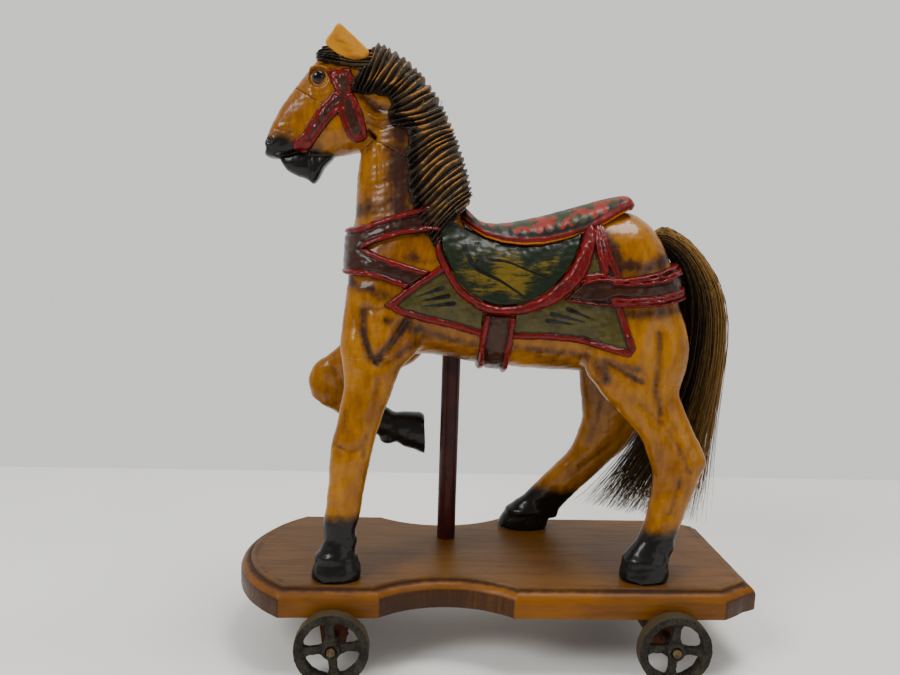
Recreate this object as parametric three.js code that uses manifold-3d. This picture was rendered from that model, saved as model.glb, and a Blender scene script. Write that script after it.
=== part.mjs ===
// A carved and painted wooden horse on a rolling platform: a pull-along toy.
// Millimetres, +Z up. The horse looks along -Y and its left side is +X.
// The origin is on the floor, under the middle of the platform.

import * as THREE from 'three';
import { mergeVertices } from 'three/addons/utils/BufferGeometryUtils.js';
import Module from 'manifold-3d';

const wasm = await Module();
wasm.setup();

// ---------------------------------------------------------------- driving dimensions

const GAP = 0.3; // clearance between two pieces that touch

const platform = {
  halfWidth: 66,
  front: -165.5,
  rear: 164.5,
  bottom: 37.1,
  top: 54.6,
  noseRadius: 83.1, // plan radius of the rounded front end
  sideFront: -135.6, // where the straight side meets the nose
  waistFront: -73, // the waist is an arc between these two places
  waistRear: 10,
  waistDepth: 15,
  cornerRun: 24, // length and width of the clipped rear corners
  cornerCut: 14.5,
};
// [height above the bottom, inset]: the edge moulding, from the bottom up
const edgeMoulding = [
  [0, 0], [11, 0], [14.2, 1.6], [15.9, 5.4], [15.9, 6.6], [17.5, 7.2],
];

const wheel = {
  radius: 22.3,
  rimInner: 16.8,
  rimThickness: 8,
  spokeHalfWidth: 2.8,
  spokeThickness: 3.8,
  hubRadius: 5.6,
  hubLength: 10,
  bore: 3.1,
  midX: 73.2, // middle plane of each wheel
};
const axle = { radius: 2.7, halfLength: 79 };
const axleY = { front: -99.4, rear: 106.4 };
const restTurn = { front: 0.1, rear: -0.06 }; // how far each pair of wheels has rolled, in radians
const axleBlock = { halfLength: 57, topHalf: 10, bottomHalf: 7, bottom: 14.5 };
const nail = { radius: 1.1, headRadius: 2.2, length: 34, offsetY: 5.6, offsetX: 40 };
const screw = { headRadius: 3.7, shankRadius: 1.8, length: 31 };

const pole = { radius: 6.35, x: -22, y: -28.5, bottom: 44, top: 212 };

const relief = { cloth: 1.6, flap: 2.6, crescent: 3.6, strap: 3, bridle: 2, forelock: 3.4, mane: 3.4 };

// Rows of a carved limb: [front y, front z, back y, back z, middle x, half width in x].
// Each row is one cross-section, an oval between its front and its back point.

const barrelRows = [
  [-97.5, 250, -97.5, 200, 0, 12],
  [-96, 262, -96, 192, 0, 22],
  [-92, 268, -92, 186, 0, 28],
  [-84, 272, -84, 183.5, 0, 32],
  [-70, 274, -70, 184, 0, 34],
  [-52, 274, -52, 189, 0, 34.5],
  [-34, 272, -34, 187.5, 0, 34],
  [-16, 269, -16, 184.5, 0, 34],
  [2, 268, 2, 182.8, 0, 34],
  [20, 271, 20, 181.2, 0, 34],
  [40, 276.5, 40, 180.4, 0, 34.5],
  [56, 280.5, 56, 180.2, 0, 35],
  [72, 283.5, 72, 181.5, 0, 36],
  [84, 283.5, 84, 184, 0, 36.5],
  [93, 278, 93, 188, 0, 35.5],
  [101, 268.5, 101, 195, 0, 32.5],
  [107, 256, 107, 204, 0, 28],
  [111.5, 246, 111.5, 214, 0, 21],
  [113.5, 238, 113.5, 224, 0, 12],
];

const neckRows = [
  [-95, 246, -22, 240, 0, 31],
  [-94.5, 262, -25, 262, 0, 29],
  [-94, 276, -27, 280, 0, 25],
  [-93.8, 290, -29, 294, 0, 21.5],
  [-93.3, 302, -33, 308, 0, 19],
  [-91.5, 313, -37.5, 319, 0, 17.5],
  [-87, 323, -43.5, 331, 0, 16.5],
  [-84, 331, -49.5, 341.5, 0, 16],
  [-86, 341, -56.5, 352, 0, 15.5],
  [-91, 352, -65.5, 362.5, 0, 14.5],
  [-97, 362, -76, 370.5, 0, 13],
  [-102, 370, -87, 376.5, 0, 10],
];

const skullRows = [
  [-108, 379.5, -82, 362, 0, 9],
  [-112.5, 377.5, -78, 352, 0, 12.5],
  [-118, 372.5, -78, 340, 0, 15],
  [-123, 366, -82, 328.5, 0, 16.5],
  [-128, 359.5, -91, 318, 0, 16],
  [-134, 352, -101.5, 314, 0, 15],
  [-139.5, 344.5, -112, 312, 0, 13.5],
  [-144.5, 336, -121, 312.5, 0, 12.3],
  [-148.3, 328, -129, 313, 0, 11.8],
  [-150, 320, -136.5, 311.5, 0, 11],
  [-148.8, 314, -142, 310.8, 0, 8],
];

const jawRows = [
  [-141, 312, -141, 308.5, 0, 5],
  [-137.5, 313, -137.5, 303.5, 0, 7.5],
  [-131, 316, -131, 300, 0, 8.5],
  [-125, 316, -125, 298, 0, 8.5],
  [-121, 316, -121, 295.4, 0, 8],
  [-117.5, 315, -117.5, 298.8, 0, 8],
  [-113.5, 314, -113.5, 306, 0, 8],
  [-109, 314, -109, 311, 0, 7],
];

const legRows = {
  left_front: [
    [-95.6, 230.3, -62.1, 234.5, 22, 10],
    [-99.6, 207.6, -55.8, 211.8, 25, 13],
    [-100.4, 194.5, -51.7, 196.6, 28, 13],
    [-98.2, 181.9, -61.9, 184.5, 30, 12.5],
    [-97.8, 169.4, -66.7, 172.5, 32, 11.5],
    [-101.6, 146.8, -75.5, 146.8, 36, 10],
    [-104.6, 135.1, -78.6, 134.1, 38, 9.5],
    [-105.4, 111.5, -83.2, 111, 40.5, 8.5],
    [-107.7, 89.4, -86.4, 90.4, 43.5, 8],
    [-106.5, 78.8, -89.5, 78.8, 44.5, 7.5],
    [-109, 73, -86.5, 72.5, 45, 9],
    [-111.9, 66.2, -84.8, 67.2, 45.5, 10.5],
    [-114.4, 58.4, -84.2, 60.4, 46, 11.5],
    [-114.6, 54.9, -84.4, 54.9, 46, 11.8],
  ],
  left_hind: [
    [71.2, 234.7, 106, 234.7, 20, 12],
    [61.7, 213.4, 114.5, 217.5, 25, 13],
    [52.7, 196.3, 118.1, 201.4, 28, 13.5],
    [53.5, 184.1, 117.2, 188.2, 29, 13],
    [59.4, 176.1, 114.4, 178.2, 30, 12.5],
    [65.3, 168.2, 112.9, 172.3, 31, 11.5],
    [74.2, 160.2, 114.4, 166.3, 32, 10.5],
    [89.5, 142.7, 121.9, 149.3, 35, 9.5],
    [97, 124.1, 130.7, 131.2, 37, 9.5],
    [98, 115.4, 127.3, 119.4, 38, 9],
    [95.5, 97.5, 118.7, 97, 40, 8],
    [90.4, 81.3, 113, 80.3, 42, 7.5],
    [84.1, 72.7, 109.7, 70.2, 43, 9],
    [80.3, 65.7, 108.6, 66.2, 44, 10.5],
    [78.7, 59, 109.5, 60, 44.5, 11.3],
    [78.5, 54.9, 108.7, 54.9, 45, 11.3],
  ],
  right_hind: [
    [58.5, 231, 101, 236.8, -20, 12],
    [55.9, 213, 111, 217.9, -25, 13],
    [56.5, 196.9, 114.8, 200.8, -28, 13.5],
    [59.9, 183.8, 116, 187.7, -30, 13],
    [62.6, 172.7, 116.7, 172.7, -31, 12.5],
    [64.3, 160.6, 118, 158.6, -32, 12],
    [66.3, 147.4, 118, 143.4, -33, 11.5],
    [66.8, 136.2, 112, 131.2, -34, 11],
    [59.4, 114, 88.5, 106.9, -37, 10],
    [42.9, 95, 67.1, 83.9, -40, 9],
    [29.8, 79.3, 52.6, 67, -43, 8.5],
    [22.3, 73.4, 48.2, 61.5, -44, 9.5],
    [14.5, 64, 47.1, 56.5, -44.5, 10.8],
    [10.5, 57, 45, 50.5, -45, 11.2],
  ],
  forearm: [
    [-87.4, 225.8, -50.2, 216, -24, 12],
    [-98.4, 201, -46.7, 191.1, -27, 12.5],
    [-105.5, 188.9, -52.1, 180, -29, 12],
    [-112.6, 182.2, -64, 172.8, -30.5, 11.5],
    [-119.1, 177.6, -77.9, 164.6, -31.5, 11],
    [-124.2, 172, -91.8, 154.6, -32, 10.5],
    [-126.7, 163.5, -103.8, 146, -32.5, 10.5],
    [-125.2, 155, -111.8, 145.5, -32.5, 9],
  ],
  cannon: [
    [-121.7, 161.5, -121.7, 151.5, -32.5, 8.5],
    [-111.8, 162.5, -115.7, 146, -32.5, 10],
    [-99.9, 157.4, -106.3, 140.5, -33, 9.5],
    [-87.9, 151.4, -92.9, 132.5, -33, 9],
    [-76.9, 146.4, -80.9, 126, -33, 8.5],
    [-71, 143.9, -72, 123.8, -33, 8.5],
    [-66.5, 141.5, -66, 121, -33, 9],
    [-58, 141.5, -59, 117, -33, 10],
    [-50, 141.3, -51, 114.4, -33, 11],
    [-45.8, 139.5, -44.8, 112.1, -33, 11.5],
  ],
};

// Glue seams of the wooden blocks: each is a line in the side view, [y, z] to [y, z].
const seams = {
  head: [[-160, 370.1], [-20, 286.1]],
  hind: [[30, 185], [140, 175.5]],
  front: [[-125, 187.5], [-30, 196.5]],
};

const tailRows = [
  [93.5, 262, 97.5, 269.5, 0, 3.6],
  [97, 263.5, 101, 272.5, 0, 4.2],
  [104, 262, 107.5, 275, 0, 6],
  [111, 256, 121.5, 268.5, 0, 9],
  [116, 247, 134, 256, 0, 11],
  [118.5, 235, 146, 239, 0, 12.5],
  [119.2, 220, 152, 220, 0, 13.5],
  [118.6, 204, 153.4, 202, 0, 14],
  [117, 187, 152.5, 183, 0, 14],
  [113, 170, 151, 165, 0, 13.5],
  [107, 152, 149, 148, 0, 13],
  [99, 134, 146, 130, 0, 12.5],
  [88, 116, 142, 112, 0, 11.5],
  [77, 101, 137, 97, 0, 9],
  [72, 92, 132, 87, 0, 5],
];

// Saddle seat: [y, top z, rim z, half width at the rim]
const seatRows = [
  [-21, 281.5, 275, 8],
  [-17, 277.5, 268, 16],
  [-12, 275, 264, 21],
  [-1.5, 274.7, 262, 24.5],
  [11, 276.8, 261.5, 26],
  [24, 279.8, 262.5, 26],
  [37, 283.7, 266, 25.5],
  [50, 287.6, 271.5, 24],
  [62.5, 291.5, 278, 22],
  [72, 293.8, 284, 20],
  [78, 294.2, 286.5, 18],
  [81, 291.5, 287, 12],
];

// ---------------------------------------------------------------- tools for solids

/** Catmull-Rom value between b (t = 0) and c (t = 1). */
function catmullRom(t, a, b, c, d) {
  const slopeB = (c - a) / 2;
  const slopeC = (d - b) / 2;
  const t2 = t * t;
  const t3 = t2 * t;
  return (2 * b - 2 * c + slopeB + slopeC) * t3
    + (-3 * b + 3 * c - 2 * slopeB - slopeC) * t2 + slopeB * t + b;
}

/** Rows spaced evenly along a table, each column following a smooth curve. */
function resample(rows, count) {
  const last = rows.length - 1;
  const rowAt = (index) => rows[THREE.MathUtils.clamp(index, 0, last)];
  const result = [];
  for (let i = 0; i < count; i += 1) {
    const along = (i / (count - 1)) * last;
    const k = Math.min(Math.floor(along), last - 1);
    const neighbours = [rowAt(k - 1), rowAt(k), rowAt(k + 1), rowAt(k + 2)];
    result.push(rows[0].map((_, column) => catmullRom(along - k, ...neighbours.map((row) => row[column]))));
  }
  return result;
}

/** One oval cross-section, made larger all round by grow. */
function ovalRing([frontY, frontZ, backY, backZ, x, halfWidth], sides, power, grow) {
  const front = new THREE.Vector3(x, frontY, frontZ);
  const back = new THREE.Vector3(x, backY, backZ);
  const centre = front.clone().lerp(back, 0.5);
  const direction = front.clone().sub(back).normalize();
  const halfLength = front.distanceTo(back) / 2 + grow;
  const points = [];
  for (let i = 0; i < sides; i += 1) {
    const angle = (i / sides) * 2 * Math.PI;
    const lengthways = Math.sign(Math.cos(angle)) * Math.abs(Math.cos(angle)) ** (2 / power);
    const sideways = Math.sign(Math.sin(angle)) * Math.abs(Math.sin(angle)) ** (2 / power);
    const point = centre.clone().addScaledVector(direction, halfLength * lengthways);
    point.x += (halfWidth + grow) * sideways;
    points.push(point);
  }
  return { centre, points };
}

/** Closed skin through rings of points, with a flat fan on each end. */
function skinOver(rings) {
  const sides = rings[0].points.length;
  const vertices = rings.flatMap((ring) => ring.points);
  const firstCentre = vertices.push(rings[0].centre) - 1;
  const lastCentre = vertices.push(rings.at(-1).centre) - 1;
  const lastStart = (rings.length - 1) * sides;
  const faces = [];
  for (let i = 0; i < sides; i += 1) {
    const next = (i + 1) % sides;
    for (let start = 0; start < lastStart; start += sides) {
      faces.push([start + i, start + next, start + sides + i]);
      faces.push([start + next, start + sides + next, start + sides + i]);
    }
    faces.push([firstCentre, next, i]);
    faces.push([lastCentre, lastStart + i, lastStart + next]);
  }
  return closedGeometry(vertices, faces);
}

/** Indexed geometry whose faces point outwards. */
function closedGeometry(vertices, faces) {
  const volume = faces.reduce((sum, [a, b, c]) => (
    sum + vertices[a].dot(vertices[b].clone().cross(vertices[c]))), 0);
  const outward = volume > 0 ? faces : faces.map(([a, b, c]) => [a, c, b]);
  const geometry = new THREE.BufferGeometry().setFromPoints(vertices);
  geometry.setIndex(outward.flat());
  return geometry;
}

/** Carved limb through a table of rows. */
function limb(rows, { count, sides, power = 2.2, grow = 0 }) {
  const rings = resample(rows, count).map((row) => ovalRing(row, sides, power, grow));
  for (const [end, inner] of [[rings[0], rings[1]], [rings.at(-1), rings.at(-2)]]) {
    const push = end.centre.clone().sub(inner.centre).setLength(grow);
    end.centre.add(push);
    end.points.forEach((point) => point.add(push));
  }
  return toSolid(skinOver(rings));
}

/** Manifold solid of a closed three.js geometry. */
function toSolid(geometry) {
  const bare = geometry.clone();
  bare.deleteAttribute('normal');
  bare.deleteAttribute('uv');
  const merged = mergeVertices(bare, 1e-4);
  return new wasm.Manifold(new wasm.Mesh({
    numProp: 3,
    vertProperties: new Float32Array(merged.attributes.position.array),
    triVerts: new Uint32Array(merged.index.array),
  }));
}

/** three.js geometry of a manifold solid. */
function toGeometry(solid) {
  const mesh = solid.getMesh();
  const geometry = new THREE.BufferGeometry();
  geometry.setAttribute('position', new THREE.BufferAttribute(mesh.vertProperties, 3));
  geometry.setIndex(new THREE.BufferAttribute(mesh.triVerts, 1));
  geometry.computeVertexNormals();
  return geometry;
}

const joined = (solids) => solids.reduce((sum, solid) => sum.add(solid));
const without = (solid, others) => others.reduce((rest, other) => rest.subtract(other), solid);

/** The biggest separate body of a solid, without the crumbs a cut can leave. */
function mainBody(solid) {
  return solid.decompose().reduce((best, body) => (body.volume() > best.volume() ? body : best));
}

/** Prism of a side-view outline of [y, z] points, between two values of x. */
function sidePrism(outline, fromX, toX) {
  const shape = new THREE.Shape(outline.map(([y, z]) => new THREE.Vector2(y, z)));
  const geometry = new THREE.ExtrudeGeometry(shape, { depth: toX - fromX, bevelEnabled: false });
  const turn = new THREE.Matrix4().makeBasis(
    new THREE.Vector3(0, 1, 0), new THREE.Vector3(0, 0, 1), new THREE.Vector3(1, 0, 0));
  geometry.applyMatrix4(turn);
  geometry.translate(fromX, 0, 0);
  return toSolid(geometry);
}

/** Everything above or below a seam line, kept a half gap clear of it. */
function sideOfSeam([[y0, z0], [y1, z1]], up) {
  const reach = 300;
  const away = up ? GAP / 2 : -GAP / 2;
  const far = up ? reach : -reach;
  const outline = [[y0, z0 + away], [y1, z1 + away], [y1, z1 + far], [y0, z0 + far]];
  return sidePrism(up ? outline : outline.reverse(), -reach, reach);
}

/** Points along a smooth curve through [y, z] or [x, y] places. */
function smoothThrough(places, count) {
  const curve = new THREE.SplineCurve(places.map(([a, b]) => new THREE.Vector2(a, b)));
  return curve.getPoints(count).map((point) => [point.x, point.y]);
}

/** Cylinder along X, Y or Z between two values of that axis. */
function rod(axis, radius, from, to, centre, sides = 20) {
  const geometry = new THREE.CylinderGeometry(radius, radius, to - from, sides);
  const middle = (from + to) / 2;
  if (axis === 'x') {
    geometry.rotateZ(-Math.PI / 2);
    geometry.translate(middle, centre[0], centre[1]);
  } else {
    geometry.rotateX(Math.PI / 2);
    geometry.translate(centre[0], centre[1], middle);
  }
  return toSolid(geometry);
}

/** Solid turned about a vertical line at (x, y), from [radius, z] places. */
function turned(profile, x, y, sides = 16) {
  const geometry = new THREE.LatheGeometry(profile.map(([r, z]) => new THREE.Vector2(r, z)), sides);
  geometry.rotateX(Math.PI / 2);
  geometry.translate(x, y, 0);
  return toSolid(geometry);
}

// ---------------------------------------------------------------- the object's parts

const toy = new THREE.Group();
const paint = {
  honey: [0xc07a1c, 0.35, 0],
  board: [0x8a5a26, 0.45, 0],
  darkWood: [0x4a2c1a, 0.6, 0],
  maroon: [0x2e1210, 0.45, 0],
  mane: [0x2c2620, 0.6, 0],
  ochre: [0xb27a22, 0.5, 0],
  green: [0x2c3a1f, 0.4, 0],
  olive: [0x5a5a2c, 0.45, 0],
  red: [0x7d1410, 0.4, 0],
  seat: [0x7a3024, 0.45, 0],
  strap: [0x3c1c12, 0.4, 0],
  glass: [0x0a0806, 0.05, 0],
  hair: [0x3a3022, 0.8, 0],
  iron: [0x3a3830, 0.6, 0.8],
  steel: [0x6b5a40, 0.4, 0.9],
};

/** Adds one named piece, from a manifold solid or a geometry. */
function piece(name, body, [color, roughness, metalness]) {
  const geometry = body.isBufferGeometry ? body : toGeometry(body);
  const mesh = new THREE.Mesh(geometry, new THREE.MeshStandardMaterial({ color, roughness, metalness }));
  mesh.name = name;
  toy.add(mesh);
  return mesh;
}

/** Plan outline of the platform as [x, y] points, anticlockwise from above. */
function platformOutline() {
  const { halfWidth, front, rear, noseRadius, sideFront, cornerRun, cornerCut } = platform;
  const noseCentre = front + noseRadius;
  const noseAngle = Math.asin((noseCentre - sideFront) / noseRadius);
  const right = [];
  const noseSteps = 6;
  for (let i = 0; i <= noseSteps; i += 1) {
    const angle = -Math.PI / 2 + (i / noseSteps) * (Math.PI / 2 - noseAngle);
    right.push([noseRadius * Math.cos(angle), noseCentre + noseRadius * Math.sin(angle)]);
  }
  right.push([halfWidth, sideFront + 2.5]);
  right.push(...waistArc());
  right.push([halfWidth, rear - cornerRun], [halfWidth - cornerCut, rear]);
  const left = right.slice(1).reverse().map(([x, y]) => [-x, y]);
  return [...right, ...left];
}

/** The hollow waist of one side, an arc of [x, y] points. */
function waistArc() {
  const { halfWidth, waistFront, waistRear, waistDepth } = platform;
  const halfChord = (waistRear - waistFront) / 2;
  const radius = (halfChord ** 2 + waistDepth ** 2) / (2 * waistDepth);
  const half = Math.asin(halfChord / radius);
  const middleY = (waistFront + waistRear) / 2;
  const centreX = halfWidth - waistDepth + radius;
  const steps = 7;
  const points = [];
  for (let i = 0; i <= steps; i += 1) {
    const angle = -half + (i / steps) * 2 * half;
    points.push([centreX - radius * Math.cos(angle), middleY + radius * Math.sin(angle)]);
  }
  return points;
}

/** Outline moved inwards by a distance, corner by corner. */
function insetOutline(outline, distance) {
  return outline.map(([x, y], i) => {
    const [px, py] = outline.at(i - 1);
    const [nx, ny] = outline[(i + 1) % outline.length];
    const before = new THREE.Vector2(x - px, y - py).normalize();
    const after = new THREE.Vector2(nx - x, ny - y).normalize();
    const mitre = new THREE.Vector2(-before.y - after.y, before.x + after.x).normalize();
    const stretch = distance / Math.max(0.5, mitre.dot(new THREE.Vector2(-before.y, before.x)));
    return [x + mitre.x * stretch, y + mitre.y * stretch];
  });
}

/** The platform: one board with a moulded edge, drilled for the pole and screws. */
function platformBoard(drillings) {
  const outline = platformOutline();
  const levels = edgeMoulding.map(([height, inset]) => {
    const z = platform.bottom + height;
    const points = insetOutline(outline, inset).map(([x, y]) => new THREE.Vector3(x, y, z));
    return { centre: new THREE.Vector3(0, 0, z), points };
  });
  return without(toSolid(skinOver(levels)), drillings);
}

/** Countersunk wood screw driven upwards from the platform's underside. */
function woodScrew(x, y, grow) {
  const { headRadius, shankRadius, length } = screw;
  const z = platform.bottom;
  return turned([
    [0, z - grow], [headRadius + grow, z - grow], [headRadius + grow, z + 0.4],
    [shankRadius + grow, z + 3], [shankRadius + grow, z + length - 4], [0, z + length + grow],
  ], x, y, 12);
}

/** Headed nail driven upwards through an axle block into the platform. */
function blockNail(x, y, grow) {
  const { radius, headRadius, length } = nail;
  const z = axleBlock.bottom;
  return turned([
    [0, z - 1], [headRadius + grow, z - 1], [headRadius + grow, z + 0.2 + grow],
    [radius + grow, z + 0.3 + grow], [radius + grow, z + length - 2], [0, z + length + grow],
  ], x, y, 10);
}

/** Tapered wooden block that carries one axle. */
function axleBlockSolid(y, cuts) {
  const { halfLength, topHalf, bottomHalf, bottom } = axleBlock;
  const top = platform.bottom - GAP;
  const outline = [[y - bottomHalf, bottom], [y + bottomHalf, bottom], [y + topHalf, top], [y - topHalf, top]];
  return without(sidePrism(outline, -halfLength, halfLength), cuts);
}

/** One opening between two spokes, as a Path in the wheel's plane. */
function wheelOpening(turn) {
  const { rimInner, spokeHalfWidth, hubRadius } = wheel;
  const reach = Math.sqrt(rimInner ** 2 - spokeHalfWidth ** 2);
  const fillet = 2.2;
  const hubReach = hubRadius + 2;
  const corner = Math.atan2(spokeHalfWidth + fillet, reach - 0.6);
  const places = [
    new THREE.Vector2(hubReach, spokeHalfWidth),
    new THREE.Vector2(reach - fillet, spokeHalfWidth),
  ];
  const arcSteps = 4;
  for (let i = 0; i <= arcSteps; i += 1) {
    const angle = corner + (i / arcSteps) * (Math.PI / 2 - 2 * corner);
    places.push(new THREE.Vector2(rimInner * Math.cos(angle), rimInner * Math.sin(angle)));
  }
  places.push(new THREE.Vector2(spokeHalfWidth, reach - fillet));
  places.push(new THREE.Vector2(spokeHalfWidth, hubReach));
  places.push(new THREE.Vector2(hubReach * 0.62, hubReach * 0.62));
  const path = new THREE.Path();
  path.setFromPoints(places.map((place) => place.rotateAround(new THREE.Vector2(), turn)));
  return path;
}

/** Cast wheel about X, centred on the origin: rim, four spokes and a hub. */
function wheelSolid(restAngle) {
  const { radius, rimInner, rimThickness, spokeThickness, hubRadius, hubLength, bore } = wheel;
  const half = rimThickness / 2;
  const round = 1.2;
  const profile = [
    [rimInner - 0.4, -half], [radius - round, -half], [radius, -half + round],
    [radius, half - round], [radius - round, half], [rimInner - 0.4, half], [rimInner - 0.4, -half],
  ];
  const rim = new THREE.LatheGeometry(profile.map(([r, z]) => new THREE.Vector2(r, z)), 24);
  const disc = new THREE.Shape().absarc(0, 0, rimInner + 0.6, 0, 2 * Math.PI);
  for (let i = 0; i < 4; i += 1) {
    disc.holes.push(wheelOpening((i * Math.PI) / 2));
  }
  const spokes = new THREE.ExtrudeGeometry(disc, {
    depth: spokeThickness, bevelEnabled: false, curveSegments: 14,
  });
  spokes.translate(0, 0, -spokeThickness / 2);
  spokes.rotateX(-Math.PI / 2);
  const hub = new THREE.CylinderGeometry(hubRadius, hubRadius, hubLength, 16);
  const boreHole = new THREE.CylinderGeometry(bore, bore, hubLength + 2, 14);
  const solid = joined([rim, spokes, hub].map(toSolid)).subtract(toSolid(boreHole));
  const geometry = toGeometry(solid);
  geometry.rotateY(restAngle);
  geometry.rotateZ(-Math.PI / 2);
  return geometry;
}

/** Wheels, axles, blocks, nails, screws and the board. */
function buildRunningGear() {
  const hoofPlaces = [[46, -99], [45, 94], [-44.5, 29]];
  const screwPlaces = [...hoofPlaces, [pole.x, pole.y]];
  const drillings = hoofPlaces.map(([x, y]) => woodScrew(x, y, GAP));
  drillings.push(woodScrew(pole.x, pole.y, GAP));
  drillings.push(rod('z', pole.radius + GAP, pole.bottom - GAP, 60, [pole.x, pole.y], 24));
  for (const [end, y] of Object.entries(axleY)) {
    const nailPlaces = [[-nail.offsetX, y - nail.offsetY], [nail.offsetX, y + nail.offsetY]];
    const nailHoles = nailPlaces.map(([x, ny]) => blockNail(x, ny, GAP));
    const bore = rod('x', axle.radius + GAP, -80, 80, [y, wheel.radius], 16);
    piece(`${end}_axle_block`, axleBlockSolid(y, [bore, ...nailHoles]), paint.darkWood);
    piece(`${end}_axle`, rod('x', axle.radius, -axle.halfLength, axle.halfLength, [y, wheel.radius], 16),
      paint.steel);
    nailPlaces.forEach(([x, ny], i) => {
      piece(`${end}_block_nail_${i + 1}`, blockNail(x, ny, 0), paint.steel);
      drillings.push(nailHoles[i]);
    });
    for (const [side, sign] of [['left', 1], ['right', -1]]) {
      const mesh = piece(`${end}_${side}_wheel`, wheelSolid(restTurn[end]), paint.iron);
      mesh.position.set(sign * wheel.midX, y, wheel.radius);
    }
  }
  piece('platform_board', platformBoard(drillings), paint.board);
  screwPlaces.forEach(([x, y], i) => {
    piece(`hold_down_screw_${i + 1}`, woodScrew(x, y, 0), paint.steel);
  });
  return { screws: screwPlaces.map(([x, y]) => woodScrew(x, y, GAP)) };
}

const limbDetail = {
  barrel: { count: 20, sides: 22, power: 2.35 },
  neck: { count: 11, sides: 18, power: 2.3 },
  skull: { count: 10, sides: 14, power: 2.5 },
  jaw: { count: 7, sides: 10, power: 2.4 },
  leg: { count: 13, sides: 10, power: 2.3 },
};

const barrel = (grow) => limb(barrelRows, { ...limbDetail.barrel, grow });
const neck = (grow) => limb(neckRows, { ...limbDetail.neck, grow });
const skull = (grow) => limb(skullRows, { ...limbDetail.skull, grow })
  .add(limb(jawRows, { ...limbDetail.jaw, grow }));
const leg = (name, grow) => limb(legRows[name], { ...limbDetail.leg, grow });

/** Barrel with the shoulders and haunches carved from the same block. */
function trunk(grow) {
  const parts = [barrel(grow)];
  for (const [name, seam] of [['left_front', 'front'], ['forearm', 'front'],
    ['left_hind', 'hind'], ['right_hind', 'hind']]) {
    parts.push(leg(name, grow).intersect(sideOfSeam(seams[seam], true)));
  }
  return joined(parts);
}

/** The whole carved skin that the relief work lies on. */
const skins = new Map();
function skin(grow) {
  if (!skins.has(grow)) {
    skins.set(grow, joined([trunk(grow), neck(grow), skull(grow)]));
  }
  return skins.get(grow);
}

/** Relief over the carved skin, inside a side-view outline, on one side or right across. */
function reliefOver(outline, thickness, [fromX, toX]) {
  const shell = skin(thickness).subtract(skin(GAP));
  return mainBody(shell.intersect(sidePrism(outline, fromX, toX)));
}

const ACROSS = [-60, 60];
const SIDES = [['left', [2, 60]], ['right', [-60, -2]]];

// Side-view outlines of the relief work, [y, z].
const crescentOuter = smoothThrough([[-42.5, 267], [-42.7, 259], [-41, 249.5], [-35.5, 240], [-25, 228.3],
  [-14.8, 222.3], [-4.5, 219.8], [5.3, 219.8], [16.5, 222.7], [29, 230.3], [38.8, 240], [45, 247.9],
  [49.5, 255], [52.5, 265], [53, 277]], 22);
const crescentInner = smoothThrough([[-38.8, 270], [-39, 259.5], [-35.8, 250.2], [-27.8, 240], [-15.2, 229.9],
  [-5, 225.8], [5.3, 225.8], [16, 229], [28, 237.3], [36, 246.5], [42, 258.5], [45.5, 272]], 20);
const outlines = {
  flap: [...smoothThrough([[-38.2, 270], [-38.4, 259.5], [-35.3, 250.6], [-27.5, 240.7], [-15, 230.6],
    [-5, 226.4], [5.3, 226.4], [15.7, 229.6], [27.4, 237.8], [35.4, 246.9], [41.3, 258.7], [44.8, 272]], 20)],
  crescent: [...crescentOuter, ...crescentInner.reverse()],
  frontCloth: [[-74, 221.8], [-54.9, 214.6], [-34.3, 211.3], [-15, 205.6], [-13.1, 221.4], [-13.1, 240],
    [-41.4, 248.6]],
  rearCloth: [[7, 203], [29.4, 201.5], [47.5, 199.6], [66.1, 195.6], [83, 194.5], [69, 227], [66, 230.9],
    [38, 231.5], [7.4, 231.5]],
  girth: [[-13.6, 176], [5.6, 176], [6.3, 200], [6.9, 225], [-12.3, 225], [-14.8, 200]],
  upperCollar: [[-103, 276], [-88, 274.6], [-77.5, 277.4], [-67.4, 279.3], [-57.2, 281.2], [-47, 266.2],
    [-61.4, 262.8], [-73.7, 258.8], [-81.5, 258], [-103, 258.5]],
  lowerCollar: [[-103, 258.2], [-81.5, 257.7], [-68.4, 254.3], [-56.2, 251.5], [-44.5, 249.8], [-61.5, 233.8],
    [-71, 234.6], [-81.5, 236.6], [-93.5, 238.6], [-103, 238]],
  breeching: [[38.5, 232.6], [41.5, 240.5], [48.5, 249.4], [68.9, 252.6], [80.6, 254.5], [96.4, 256.4], [125, 257],
    [125, 231.5], [87.5, 230.6], [69.4, 228.6], [66.5, 231.4]],
  bridle: [[-109, 367], [-97, 364.5], [-96.5, 352], [-93, 338], [-88.5, 326.5], [-98, 323.5], [-105, 343],
    [-124, 315], [-133, 322], [-118, 343], [-108.5, 355]],
  forelock: [[-123, 374.5], [-118.5, 370.5], [-110, 369.6], [-99, 367.5], [-88, 365], [-84, 372], [-84.5, 382],
    [-98, 386], [-112, 386], [-121, 381]],
  mane: [[-83.6, 372], [-87.5, 364.5], [-92.5, 356], [-90, 351.5], [-79.5, 353], [-72, 351.5], [-70.5, 346.5],
    [-74, 339], [-70, 334], [-59.5, 331], [-58.5, 322], [-60, 314.5], [-57.5, 306.5], [-57, 296.5],
    [-55, 289.5], [-51, 281.5], [-46.8, 271.5], [-44.3, 262], [-30, 272], [-12, 290], [-12, 330],
    [-40, 390], [-84.2, 400]],
};

/** Mane core: the neck made deeper along the crest. */
const maneRows = neckRows.map(([frontY, frontZ, backY, backZ, x, halfWidth]) => {
  const depth = 5.5;
  const length = Math.hypot(backY - frontY, backZ - frontZ);
  const alongY = (backY - frontY) / length;
  const alongZ = (backZ - frontZ) / length;
  return [frontY, frontZ, backY + depth * alongY, backZ + depth * alongZ, x, halfWidth];
});

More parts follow.
